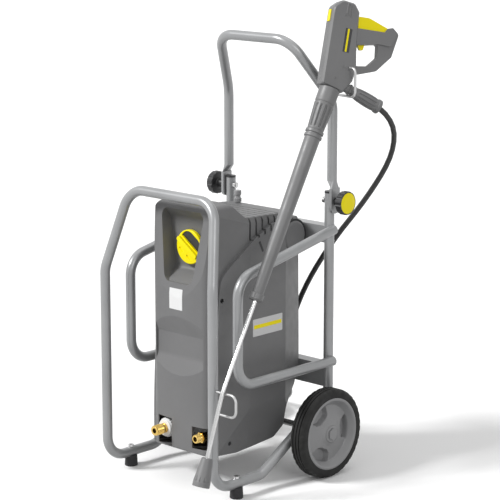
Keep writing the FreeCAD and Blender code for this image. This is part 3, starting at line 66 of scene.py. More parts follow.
class Nodes:
    """Adds shader nodes to a material or a world and links them."""

    # The blend node's sockets for colours, by number, because those for plain values share their names.
    SHARE, FIRST, SECOND, BLEND = 0, 6, 7, 2
    BEVEL_SAMPLES = 4

    def __init__(self, holder: bpy.types.Material | bpy.types.World) -> None:
        """Take a material or a world and clear its nodes.

        Args:
            holder: The material or world.
        """
        holder.use_nodes = True
        self.holder = holder
        self.tree = holder.node_tree
        self.tree.nodes.clear()

    def add(self, kind: str, **settings: object) -> bpy.types.Node:
        """Add a node and set its properties.

        Args:
            kind: The node's type name.
            settings: Values for the node's own properties.

        Returns:
            The node.
        """
        made = self.tree.nodes.new(kind)
        for key, value in settings.items():
            setattr(made, key, value)
        return made

    def link(self, source: Socket, target: Socket) -> None:
        """Join an output to an input."""
        self.tree.links.new(source, target)

    def place(self) -> Socket:
        """The object's own coordinates, which are metres in the part's frame."""
        return self.add("ShaderNodeTexCoord").outputs["Object"]

    def noise(self, scale: float, detail: float) -> Socket:
        """Noise from 0 to 1 over the object's own coordinates.

        Args:
            scale: One over the size of its cells in metres.
            detail: How many finer layers it has.

        Returns:
            The noise.
        """
        made = self.add("ShaderNodeTexNoise")
        made.inputs["Scale"].default_value = scale
        made.inputs["Detail"].default_value = detail
        self.link(self.place(), made.inputs["Vector"])
        return made.outputs["Fac"]

    def steps(self, value: Socket, taken: Pair, given: Pair) -> Socket:
        """Map a value from one range to another and clamp it.

        Args:
            value: The value.
            taken: The range that it comes in.
            given: The range that it goes out in.

        Returns:
            The mapped value.
        """
        made = self.add("ShaderNodeMapRange")
        self.link(value, made.inputs["Value"])
        for name, number in zip(("From Min", "From Max", "To Min", "To Max"), (*taken, *given)):
            made.inputs[name].default_value = number
        return made.outputs["Result"]

    def mix(self, share: Socket, first: Colour, second: Colour) -> Socket:
        """Blend two colours.

        Args:
            share: How much of the second colour there is, from 0 to 1.
            first: The first colour.
            second: The second colour.

        Returns:
            The blended colour.
        """
        made = self.add("ShaderNodeMix", data_type="RGBA")
        self.link(share, made.inputs[self.SHARE])
        made.inputs[self.FIRST].default_value = (*first, 1)
        made.inputs[self.SECOND].default_value = (*second, 1)
        return made.outputs[self.BLEND]

    def maths(self, operation: str, first: Socket, second: Socket | float) -> Socket:
        """One arithmetic step on two values.

        Args:
            operation: The step's name in Blender.
            first: The first value.
            second: The second value, as an output or as a number.

        Returns:
            The result.
        """
        made = self.add("ShaderNodeMath", operation=operation)
        self.link(first, made.inputs[0])
        if isinstance(second, (int, float)):
            made.inputs[1].default_value = second
        else:
            self.link(second, made.inputs[1])
        return made.outputs[0]

    def bump(self, height: Socket, depth: float, under: Socket | None) -> Socket:
        """A normal raised by a height.

        Args:
            height: The height from 0 to 1.
            depth: The height in metres that 1 stands for.
            under: Another normal that it lies on, if there is one.

        Returns:
            The normal.
        """
        made = self.add("ShaderNodeBump")
        made.inputs["Strength"].default_value = 1.0
        made.inputs["Distance"].default_value = depth
        self.link(height, made.inputs["Height"])
        if under is not None:
            self.link(under, made.inputs["Normal"])
        return made.outputs["Normal"]

    def rounded(self, radius: float) -> Socket:
        """A normal that rounds edges.

        Args:
            radius: The edges' radius in metres.

        Returns:
            The normal.
        """
        made = self.add("ShaderNodeBevel", samples=self.BEVEL_SAMPLES)
        made.inputs["Radius"].default_value = radius
        return made.outputs["Normal"]

    def surface(
        self, shader: bpy.types.Node, kind: str = "ShaderNodeOutputMaterial",
    ) -> bpy.types.Material | bpy.types.World:
        """Make a shader the surface.

        Args:
            shader: The shader.
            kind: The output node's type name.

        Returns:
            The finished material or world.
        """
        end = self.add(kind)
        self.link(shader.outputs[0], end.inputs["Surface"])
        return self.holder


@dataclass(frozen=True)
class Finish:
    """What every finish has: a name, two shades, gloss and how its edges catch the light."""

    name: str
    dark: Colour
    light: Colour
    gloss: Pair
    grain: float
    grain_depth: float
    edge: float = 0.0006
    metallic: float = 0.0
    specular: float = 0.5

    # A noise is a scale and a detail, and a range its two ends.
    PATCHES: ClassVar[Pair] = (9.0, 3.0)
    PATCH_SHARE: ClassVar[float] = 0.75
    PATCH_RANGE: ClassVar[Pair] = (0.3, 0.7)
    WEAR: ClassVar[Pair] = (35.0, 4.0)
    WEAR_RANGE: ClassVar[Pair] = (0.35, 0.65)
    SHADE_DETAIL: ClassVar[float] = 2.0
    RELIEF_DETAIL: ClassVar[float] = 3.0

    def shade(self, nodes: Nodes) -> Socket:
        """Base colour: large soft patches with a trace of the fine grain.

        Args:
            nodes: The material's nodes.

        Returns:
            The colour.
        """
        patches, fine = nodes.noise(*self.PATCHES), nodes.noise(self.grain, self.SHADE_DETAIL)
        patches = nodes.maths("MULTIPLY", patches, self.PATCH_SHARE)
        fine = nodes.maths("MULTIPLY", fine, 1 - self.PATCH_SHARE)
        share = nodes.steps(nodes.maths("ADD", patches, fine), self.PATCH_RANGE, (0.0, 1.0))
        return nodes.mix(share, self.dark, self.light)

    def relief(self, nodes: Nodes) -> Socket:
        """Surface normal: a fine grain, over rounded edges where the finish has edges."""
        under = nodes.rounded(self.edge) if self.edge else None
        return nodes.bump(nodes.noise(self.grain, self.RELIEF_DETAIL), self.grain_depth, under)

    def build(self) -> bpy.types.Material:
        """Make the material.

        Returns:
            The new material.
        """
        nodes = Nodes(bpy.data.materials.new(self.name))
        shader = nodes.add("ShaderNodeBsdfPrincipled")
        nodes.link(self.shade(nodes), shader.inputs["Base Color"])
        gloss = nodes.steps(nodes.noise(*self.WEAR), self.WEAR_RANGE, self.gloss)
        nodes.link(gloss, shader.inputs["Roughness"])
        nodes.link(self.relief(nodes), shader.inputs["Normal"])
        shader.inputs["Metallic"].default_value = self.metallic
        shader.inputs["Specular IOR Level"].default_value = self.specular
        return nodes.surface(shader)


@dataclass(frozen=True)
class TubePaint(Finish):
    """Silver-grey powder coat on steel tube, with fine orange peel and a trace of sparkle."""

    name: str = "tube paint"
    dark: Colour = (0.29, 0.295, 0.30)
    light: Colour = (0.35, 0.355, 0.36)
    gloss: Pair = (0.32, 0.35)
    grain: float = 2500.0
    grain_depth: float = 0.000001
    edge: float = 0.0
    metallic: float = 0.35


@dataclass(frozen=True)
class ShellPlastic(Finish):
    """Mid-grey moulded housing, spark-eroded grain."""

    name: str = "shell plastic"
    dark: Colour = (0.145, 0.145, 0.147)
    light: Colour = (0.168, 0.168, 0.170)
    gloss: Pair = (0.44, 0.56)
    grain: float = 1600.0
    grain_depth: float = 0.00005
    edge: float = 0.0012


@dataclass(frozen=True)
class GunPlastic(Finish):
    """Lighter glass-filled plastic of the gun, lance grip and nozzle guard."""

    name: str = "gun plastic"
    dark: Colour = (0.155, 0.155, 0.157)
    light: Colour = (0.180, 0.180, 0.182)
    gloss: Pair = (0.40, 0.52)
    grain: float = 1400.0
    grain_depth: float = 0.00005
    edge: float = 0.0010


@dataclass(frozen=True)
class YellowPlastic(Finish):
    """Glossy yellow of the switch, trigger, latch and knob caps."""

    name: str = "yellow plastic"
    dark: Colour = (0.96, 0.79, 0.0)
    light: Colour = (1.0, 0.86, 0.0)
    gloss: Pair = (0.28, 0.38)
    grain: float = 700.0
    grain_depth: float = 0.00003
    edge: float = 0.0008
    specular: float = 0.25


@dataclass(frozen=True)
class BlackPlastic(Finish):
    """Fine-grained black moulding."""

    name: str = "black plastic"
    dark: Colour = (0.012, 0.012, 0.013)
    light: Colour = (0.022, 0.022, 0.024)
    gloss: Pair = (0.36, 0.5)
    grain: float = 1500.0
    grain_depth: float = 0.00005


@dataclass(frozen=True)
class WhitePlastic(Finish):
    """Off-white nut of the water inlet."""

    name: str = "white plastic"
    dark: Colour = (0.72, 0.72, 0.71)
    light: Colour = (0.82, 0.82, 0.81)
    gloss: Pair = (0.35, 0.45)
    grain: float = 600.0
    grain_depth: float = 0.00003


@dataclass(frozen=True)
class RimPlastic(Finish):
    """Satin grey wheel disc."""

    name: str = "rim plastic"
    dark: Colour = (0.25, 0.25, 0.255)
    light: Colour = (0.29, 0.29, 0.295)
    gloss: Pair = (0.38, 0.5)
    grain: float = 1200.0
    grain_depth: float = 0.00005
    edge: float = 0.0012


@dataclass(frozen=True)
class TyreRubber(Finish):
    """Solid tyre: dull black with greyed patches where it runs."""

    name: str = "tyre rubber"
    dark: Colour = (0.010, 0.010, 0.010)
    light: Colour = (0.022, 0.022, 0.021)
    gloss: Pair = (0.55, 0.75)
    grain: float = 800.0
    grain_depth: float = 0.00012
    edge: float = 0.0010
    specular: float = 0.25


@dataclass(frozen=True)
class HoseRubber(Finish):
    """Smooth black cover of the high-pressure hose, with a fine cloth-wrap texture."""

    name: str = "hose rubber"
    dark: Colour = (0.010, 0.010, 0.010)
    light: Colour = (0.020, 0.020, 0.020)
    gloss: Pair = (0.38, 0.5)
    grain: float = 2200.0
    grain_depth: float = 0.00008
    edge: float = 0.0003


@dataclass(frozen=True)
class BrightSteel(Finish):
    """Zinc-plated and stainless steel, drawn along its length."""

    name: str = "bright steel"
    dark: Colour = (0.50, 0.50, 0.50)
    light: Colour = (0.58, 0.58, 0.58)
    gloss: Pair = (0.20, 0.25)
    grain: float = 1500.0
    grain_depth: float = 0.000001
    edge: float = 0.0
    metallic: float = 1.0


@dataclass(frozen=True)
class ZincWire(Finish):
    """Dull zinc on bent wire."""

    name: str = "zinc wire"
    dark: Colour = (0.42, 0.42, 0.42)
    light: Colour = (0.55, 0.55, 0.55)
    gloss: Pair = (0.30, 0.42)
    grain: float = 1200.0
    grain_depth: float = 0.000004
    edge: float = 0.0
    metallic: float = 0.7


@dataclass(frozen=True)
class Brass(Finish):
    """Turned brass, a little tarnished."""

    name: str = "brass"
    dark: Colour = (0.62, 0.40, 0.10)
    light: Colour = (0.80, 0.58, 0.20)
    gloss: Pair = (0.16, 0.30)
    grain: float = 900.0
    grain_depth: float = 0.00004
    edge: float = 0.0003
    metallic: float = 1.0


@dataclass(frozen=True)
class CastMetal(Finish):
    """Sand-cast aluminium of the pump and motor inside the housing."""

    name: str = "cast metal"
    dark: Colour = (0.34, 0.34, 0.34)
    light: Colour = (0.46, 0.46, 0.46)
    gloss: Pair = (0.45, 0.65)
    grain: float = 500.0
    grain_depth: float = 0.0002
    metallic: float = 0.8


@dataclass(frozen=True)
class Print(Finish):
    """A thin label face of one colour."""

    gloss: Pair = (0.30, 0.38)
    grain: float = 1500.0
    grain_depth: float = 0.00001
    edge: float = 0.0002


class Slot(Enum):
    """The record's material slots, each with its finish."""

    TUBE = "tube_paint"
    SHELL = "shell_plastic"
    LIGHT = "light_plastic"
    YELLOW = "yellow_plastic"
    BLACK = "black_plastic"
    WHITE = "white_plastic"
    RUBBER = "rubber"
    TYRE = "tyre_rubber"
    RIM = "rim_plastic"
    STEEL = "steel"
    WIRE = "wire"
    BRASS = "brass"
    CAST = "cast_metal"
    HOSE = "hose_rubber"


class Paints:
    """Builds each finish once and puts it on pieces and CAD nodes."""

    CHOICE: dict[Slot, Finish] = {
        Slot.TUBE: TubePaint(),
        Slot.SHELL: ShellPlastic(),
        Slot.LIGHT: GunPlastic(),
        Slot.YELLOW: YellowPlastic(),
        Slot.BLACK: BlackPlastic(),
        Slot.WHITE: WhitePlastic(),
        Slot.RUBBER: BlackPlastic(name="foot rubber", gloss=(0.6, 0.8)),
        Slot.TYRE: TyreRubber(),
        Slot.RIM: RimPlastic(),
        Slot.STEEL: BrightSteel(),
        Slot.WIRE: ZincWire(),
        Slot.BRASS: Brass(),
        Slot.CAST: CastMetal(),
        Slot.HOSE: HoseRubber(),
    }

    def __init__(self) -> None:
        """Make the material of every slot."""
        self.made = {slot: finish.build() for slot, finish in self.CHOICE.items()}

    def nodes(self, slot: Slot, names: Sequence[str]) -> None:
        """Put a slot's finish on CAD nodes.

        Args:
            slot: The finish.
            names: The nodes.
        """
        for name in names:
            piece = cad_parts[name]
            piece.data.materials.clear()
            piece.data.materials.append(self.made[slot])

    def piece(
        self, piece: bpy.types.Object, slot: Slot, body: str, paint: Finish | None = None,
    ) -> bpy.types.Object:
        """Finish a new piece and let it ride on a body.

        Args:
            piece: The new piece.
            slot: The record's slot that it belongs to.
            body: The body that carries it.
            paint: A finish of its own, where it isn't the slot's.

        Returns:
            The piece.
        """
        piece.data.materials.append(paint.build() if paint else self.made[slot])
        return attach(piece, body)


# Meshes from surfaces

# Points closer than the first and edges shorter than the second are joined, and edges bent further are sharp.
MERGE, SLIVER, SHARP = 1e-6, 1e-7, math.radians(35)


def grid_piece(
    name: str, grid: np.ndarray, around_rows: bool = False, around_columns: bool = True,
) -> bpy.types.Object:
    """A mesh from a grid of points, joined into quadrilaterals between neighbouring rows and columns.

    Args:
        name: The piece's name.
        grid: Points in metres, as an array of rows, columns and three coordinates.
        around_rows: Whether the last row joins the first.
        around_columns: Whether the last column joins the first.

    Returns:
        The piece, smooth, with doubled points merged and its faces pointing outwards.
    """
    rows, columns = grid.shape[:2]
    row, column = np.meshgrid(
        np.arange(rows if around_rows else rows - 1),
        np.arange(columns if around_columns else columns - 1),
        indexing="ij",
    )
    here, there, after = row * columns, (row + 1) % rows * columns, (column + 1) % columns
    quads = np.stack([here + column, there + column, there + after, here + after], -1).reshape(-1, 4)
    mesh = bpy.data.meshes.new(name)
    mesh.vertices.add(rows * columns)
    mesh.vertices.foreach_set("co", np.ascontiguousarray(grid, dtype=np.float32).ravel())
    mesh.loops.add(quads.size)
    mesh.loops.foreach_set("vertex_index", np.ascontiguousarray(quads, dtype=np.int32).ravel())
    mesh.polygons.add(len(quads))
    mesh.polygons.foreach_set("loop_start", np.arange(0, quads.size, 4, dtype=np.int32))
    mesh.update(calc_edges=True)
    mesh.validate()
    work = bmesh.new()
    work.from_mesh(mesh)
    bmesh.ops.remove_doubles(work, verts=work.verts, dist=MERGE)
    bmesh.ops.dissolve_degenerate(work, edges=work.edges, dist=SLIVER)
    bmesh.ops.recalc_face_normals(work, faces=work.faces)
    work.to_mesh(mesh)
    work.free()
    mesh.shade_smooth()
    mesh.set_sharp_from_angle(angle=SHARP)
    piece = bpy.data.objects.new(name, mesh)
    bpy.context.scene.collection.objects.link(piece)
    return piece


def spun(profile: Sequence[Pair], turns: int, shape: Shape | None = None) -> np.ndarray:
    """A surface of revolution about z: radius and height from the profile, angle from the columns.

    Args:
        profile: Radius and height in millimetres.
        turns: Number of steps round the axis.
        shape: Changes the radius by radius, height and angle, for threads, ribs and flutes.

    Returns:
        A grid in millimetres; its columns close on themselves.
    """
    radius, height = np.array(profile, float).T
    angle = np.linspace(0, 2 * np.pi, turns, endpoint=False)
    r, a = np.meshgrid(radius, angle, indexing="ij")
    z = np.repeat(height[:, None], turns, axis=1)
    if shape is not None:
        r = shape(r, z, a)
    return np.stack([r * np.cos(a), r * np.sin(a), z], -1)


def finely(profile: Sequence[Pair], step: float) -> list[Pair]:
    """A profile with its runs cut into short steps, by linear interpolation.

    Args:
        profile: The profile's corners.
        step: The longest step.

    Returns:
        The corners with the points between them.
    """
    points = [profile[0]]
    for start, end in zip(profile, profile[1:]):
        parts = max(1, math.ceil(math.dist(start, end) / step))
        points += [
            (start[0] + (end[0] - start[0]) * k / parts, start[1] + (end[1] - start[1]) * k / parts)
            for k in range(1, parts + 1)
        ]
    return points


def laid(grid: np.ndarray, base: Vector, x: Vector, y: Vector, z: Vector) -> np.ndarray:
    """A grid in millimetres moved to a base point in metres, on three axes."""
    axes = np.array([x, y, z], float)
    return grid @ axes / 1000 + np.array(base, float)


def waves(angle: np.ndarray, count: int, gain: float, lift: float) -> np.ndarray:
    """A cosine wave round an axis, times a gain and lifted, and cut off at 0 and 1."""
    return np.clip(np.cos(count * angle) * gain + lift, 0, 1)


def faded(height: np.ndarray, low: float, high: float, run: float) -> np.ndarray:
    """0 outside two heights and 1 between them, with a straight slope of that run inside each."""
    return np.clip(np.minimum(height - low, high - height) / run, 0, 1)


def plate(
    width: float, height: float, thick: float, corner: float, edge: float = 0.3, steps: int = 8,
) -> np.ndarray:
    """A flat plate with round corners and a softened upper edge.

    The outline is a rectangle's corners moved in by the corner radius, each with a quarter circle, and the
    rows are that outline at the foot, below the edge, on the edge and over the middle.

    Args:
        width: Size along x in millimetres.
        height: Size along y.
        thick: Size along z.
        corner: Radius of the corners.
        edge: Width of the softened edge.
        steps: Points on each quarter circle.

    Returns:
        A grid in millimetres; its columns close on themselves.
    """
    quarter = np.linspace(0, np.pi / 2, steps)
    angle = np.concatenate([quarter + k * np.pi / 2 for k in range(4)])
    side_x = np.repeat([1, -1, -1, 1], steps) * (width / 2 - corner)
    side_y = np.repeat([1, 1, -1, -1], steps) * (height / 2 - corner)
    rows = []
    for inset, z in ((0.0, 0.0), (0.0, thick - edge), (edge, thick)):
        reach = corner - inset
        x, y = side_x + reach * np.cos(angle), side_y + reach * np.sin(angle)
        rows.append(np.stack([x, y, np.full_like(angle, z)], -1))
    for z, at in ((thick, len(rows)), (0.0, 0)):
        rows.insert(at, np.tile([0.0, 0.0, z], (len(angle), 1)))
    return np.stack(rows)


# Studio


@dataclass
class Studio:
    """Camera at the photograph's angle, soft lamps, a pale floor and a white surrounding."""

    place: Triple = (3.5378, -3.6691, 1.6783)
    pitch: float = 78.17
    azimuth: float = 43.34
    lens: float = 140.56
    sensor: float = 36.0
    sight: float = 200.0
    floor_reach: float = 60.0
    floor_tone: float = 0.98
    sky: float = 0.50
    bounce: float = 0.35
    lamps: tuple[tuple[str, Triple, float, float], ...] = (
        ("key lamp", (-0.45, -0.80, 0.75), 2.9, 14.0),
        ("fill lamp", (0.95, -0.35, 0.45), 0.62, 30.0),
        ("top lamp", (0.05, 0.25, 1.0), 0.35, 40.0),
    )

    def camera(self) -> None:
        """Set up the camera with the photograph's place, angles and lens."""
        data = bpy.data.cameras.new("camera")
        data.sensor_width, data.lens = self.sensor, self.lens
        data.clip_end = self.sight
        holder = bpy.data.objects.new("camera", data)
        holder.location = self.place
        holder.rotation_euler = (math.radians(self.pitch), 0.0, math.radians(self.azimuth))
        bpy.context.scene.collection.objects.link(holder)
        bpy.context.scene.camera = holder

    def lights(self) -> None:
        """Add the sun-like lamps, each wide enough for soft shadows, aimed at the object."""
        for name, way, power, spread in self.lamps:
            data = bpy.data.lights.new(name, "SUN")
            data.energy, data.angle = power, math.radians(spread)
            lamp = bpy.data.objects.new(name, data)
            lamp.rotation_euler = Vector(way).to_track_quat("Z", "Y").to_euler()
            bpy.context.scene.collection.objects.link(lamp)

    def seen(self, nodes: Nodes) -> Socket:
        """Whether a ray comes from the camera, a gloss or a glass.

        Args:
            nodes: The nodes to add to.

        Returns:
            1 where it does, and 0 elsewhere.
        """
        path = nodes.add("ShaderNodeLightPath")
        share = nodes.maths("MAXIMUM", path.outputs["Is Camera Ray"], path.outputs["Is Glossy Ray"])
        return nodes.maths("MAXIMUM", share, path.outputs["Is Transmission Ray"])

    def world(self) -> None:
        """A white surrounding for what is seen, at a plain level for what is lit."""
        world = bpy.data.worlds.new("surrounding")
        bpy.context.scene.world = world
        nodes = Nodes(world)
        background = nodes.add("ShaderNodeBackground")
        background.inputs["Color"].default_value = (1, 1, 1, 1)
        strength = nodes.steps(self.seen(nodes), (0.0, 1.0), (self.sky, 1.0))
        nodes.link(strength, background.inputs["Strength"])
        nodes.surface(background, "ShaderNodeOutputWorld")

    def floor(self) -> None:
        """A level floor, white where it is seen and paler grey where it throws light back."""
        reach = self.floor_reach
        corners = [(-reach, -reach, 0), (reach, -reach, 0), (reach, reach, 0), (-reach, reach, 0)]
        mesh = bpy.data.meshes.new("floor")
        mesh.from_pydata(corners, [], [(0, 1, 2, 3)])
        ground = bpy.data.objects.new("floor", mesh)
        bpy.context.scene.collection.objects.link(ground)
        nodes = Nodes(bpy.data.materials.new("pale floor"))
        shader = nodes.add("ShaderNodeBsdfDiffuse")
        tone = nodes.mix(self.seen(nodes), (self.bounce,) * 3, (self.floor_tone,) * 3)
        nodes.link(tone, shader.inputs["Color"])
        mesh.materials.append(nodes.surface(shader))

    def build(self) -> None:
        """Set up camera, lamps, world and floor."""
        scene = bpy.context.scene
        scene.view_settings.view_transform = "Standard"
        self.camera()
        self.lights()
        self.world()
        self.floor()


# Spray gun's own axes


@dataclass
class GunAxes:
    """The gun's frame: G runs along the lance upwards, H out along the handle, N across it."""

    joint: Triple = (243.0, 394.0, 1048.0)
    up: Triple = (0.0, 0.4808, 0.8768)
    turn: float = 25.0
    tilt: float = 11.2
    grip_place: Pair = (48.0, 12.0)
    grip_slant: Pair = (0.96, 0.28)

    def __post_init__(self) -> None:
        """Turn the two angles into three unit vectors, and find where and which way the hose grip goes."""
        up = Vector(self.up).normalized()
        turn, tilt = math.radians(self.turn), math.radians(self.tilt)
        back = Vector((math.sin(turn), math.cos(turn) * up.z, -math.cos(turn) * up.y))
        self.along = up * math.cos(tilt) - back * math.sin(tilt)
        self.handle = back * math.cos(tilt) + up * math.sin(tilt)
        self.across = self.handle.cross(self.along)
        out, down = self.grip_slant
        self.grip_seat = self.spot(*self.grip_place)
        self.grip_way = (self.handle * out - self.along * down).normalized()

    def spot(self, handle: float, along: float, across: float = 0.0) -> Vector:
        """A point in metres from distances in millimetres along the gun's axes."""
        step = self.handle * handle + self.along * along + self.across * across
        return machine(*(Vector(self.joint) + step))


# What assemblies share


@dataclass
class Assembly:
    """A part of the machine, with the finishes that it is dressed in."""

    paints: Paints


# Hose


@dataclass
class HoseLine(Assembly):
    """High-pressure hose: from the gun's grip down behind the housing, then a coil on the floor."""

    axes: GunAxes
    diameter: float = 0.015
    length: float = 9.9
    centre: tuple[float, float] = (-340.0, 640.0)
    outer: float = 130.0
    step: float = 9.2
    climb: float = 16.2
    halves: int = 6
    layers: int = 4
    per_half: int = 8
    lead: float = 19.0
    start: Pair = (0.080, 0.152)
    round_steps: int = 4
    long_steps: int = 5
    order: int = 3
    route: tuple[Triple, ...] = (
        (290, 609, 862), (209, 590, 728), (112, 560, 602), (22, 538, 452), (-28, 531, 310), (-62, 524, 175),
        (-135, 510, 7.5), (-325, 510, 7.5),
    )

    def coil(self) -> np.ndarray:
        """Control points of the coil, in millimetres.

        Each half turn is a half circle between two ends on the coil's middle plane: its centre is halfway
        between them and its radius is half their distance. The radius shrinks by a step each half turn in the
        first and third layer, grows in the second and fourth, and stays while the hose climbs to the next
        layer. A control point stands off the circle by eight over six plus twice the cosine of its angle to
        the next.

        Returns:
            The points, one row each.
        """
        change, rise = [], []
        for layer in range(self.layers):
            change += [-self.step if layer % 2 == 0 else self.step] * self.halves + [0.0]
            rise += [0.0] * self.halves + [self.climb]
        radius = self.outer + np.concatenate([[0], np.cumsum(change[:-1])])
        level = self.diameter * 500 + np.concatenate([[0], np.cumsum(rise[:-1])])
        side = np.where(np.arange(len(radius)) % 2 == 0, -1.0, 1.0)
        end_y = self.centre[1] + side * radius
        middle, reach = (end_y[:-1] + end_y[1:]) / 2, np.abs(end_y[1:] - end_y[:-1]) / 2
        angle = (np.arange(self.per_half) + 0.5) * np.pi / self.per_half
        reach = reach * 8 / (6 + 2 * np.cos(np.pi / self.per_half))
        x = self.centre[0] + side[:-1, None] * reach[:, None] * np.sin(angle)
        y = middle[:, None] + side[:-1, None] * reach[:, None] * np.cos(angle)
        z = level[:-1, None] + (level[1:] - level[:-1])[:, None] * angle / np.pi
        turns = np.stack([x, y, z], -1).reshape(-1, 3)
        last = np.array([[self.centre[0] + self.lead, end_y[-1], level[-1]]])
        return np.concatenate([turns, last])

    def build(self) -> None:
        seat, way = self.axes.grip_seat, self.axes.grip_way
        start = [seat + way * reach for reach in self.start]
        spots = start + [machine(*spot) for spot in (*self.route, *self.coil())]
        curve = bpy.data.curves.new("hose_line", "CURVE")
        curve.dimensions = "3D"
        curve.bevel_depth, curve.bevel_resolution = self.diameter / 2, self.round_steps
        curve.resolution_u, curve.use_fill_caps = self.long_steps, True
        spline = curve.splines.new("NURBS")
        spline.points.add(len(spots) - 1)
        spline.points.foreach_set("co", np.array([(*spot, 1) for spot in spots], np.float32).ravel())
        spline.order_u = self.order
        spline.use_endpoint_u = True
        piece = bpy.data.objects.new("hose_line", curve)
        bpy.context.scene.collection.objects.link(piece)
        self.paints.piece(piece, Slot.HOSE, "trolley")
        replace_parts(piece, "hose", "hose_coil")


# The object's assemblies


X_AXIS, Y_AXIS, Z_AXIS = Vector((1, 0, 0)), Vector((0, 1, 0)), Vector((0, 0, 1))


@dataclass
class Trolley(Assembly):
    """Bent tube frame with its feet, brackets and wire holders."""

    tubes: tuple[str, ...] = (
        "front_hoop", "runner_left", "runner_right", "side_tube_left", "side_tube_right", "rear_post_left",
        "rear_post_right", "cross_member_high", "cross_member_low", "axle_brackets",
    )
    wires: tuple[str, ...] = ("lance_holder", "gun_hook")

    def build(self) -> None:
        """Dress the frame's tubes, wires, feet and caps."""
        self.paints.nodes(Slot.TUBE, self.tubes)
        self.paints.nodes(Slot.STEEL, ("foot_screws", "clamp_bolts", "axle"))
        self.paints.nodes(Slot.WIRE, self.wires)
        self.paints.nodes(Slot.BLACK, ("post_caps", "axle_spacers"))
        self.paints.nodes(Slot.RUBBER, ("feet",))


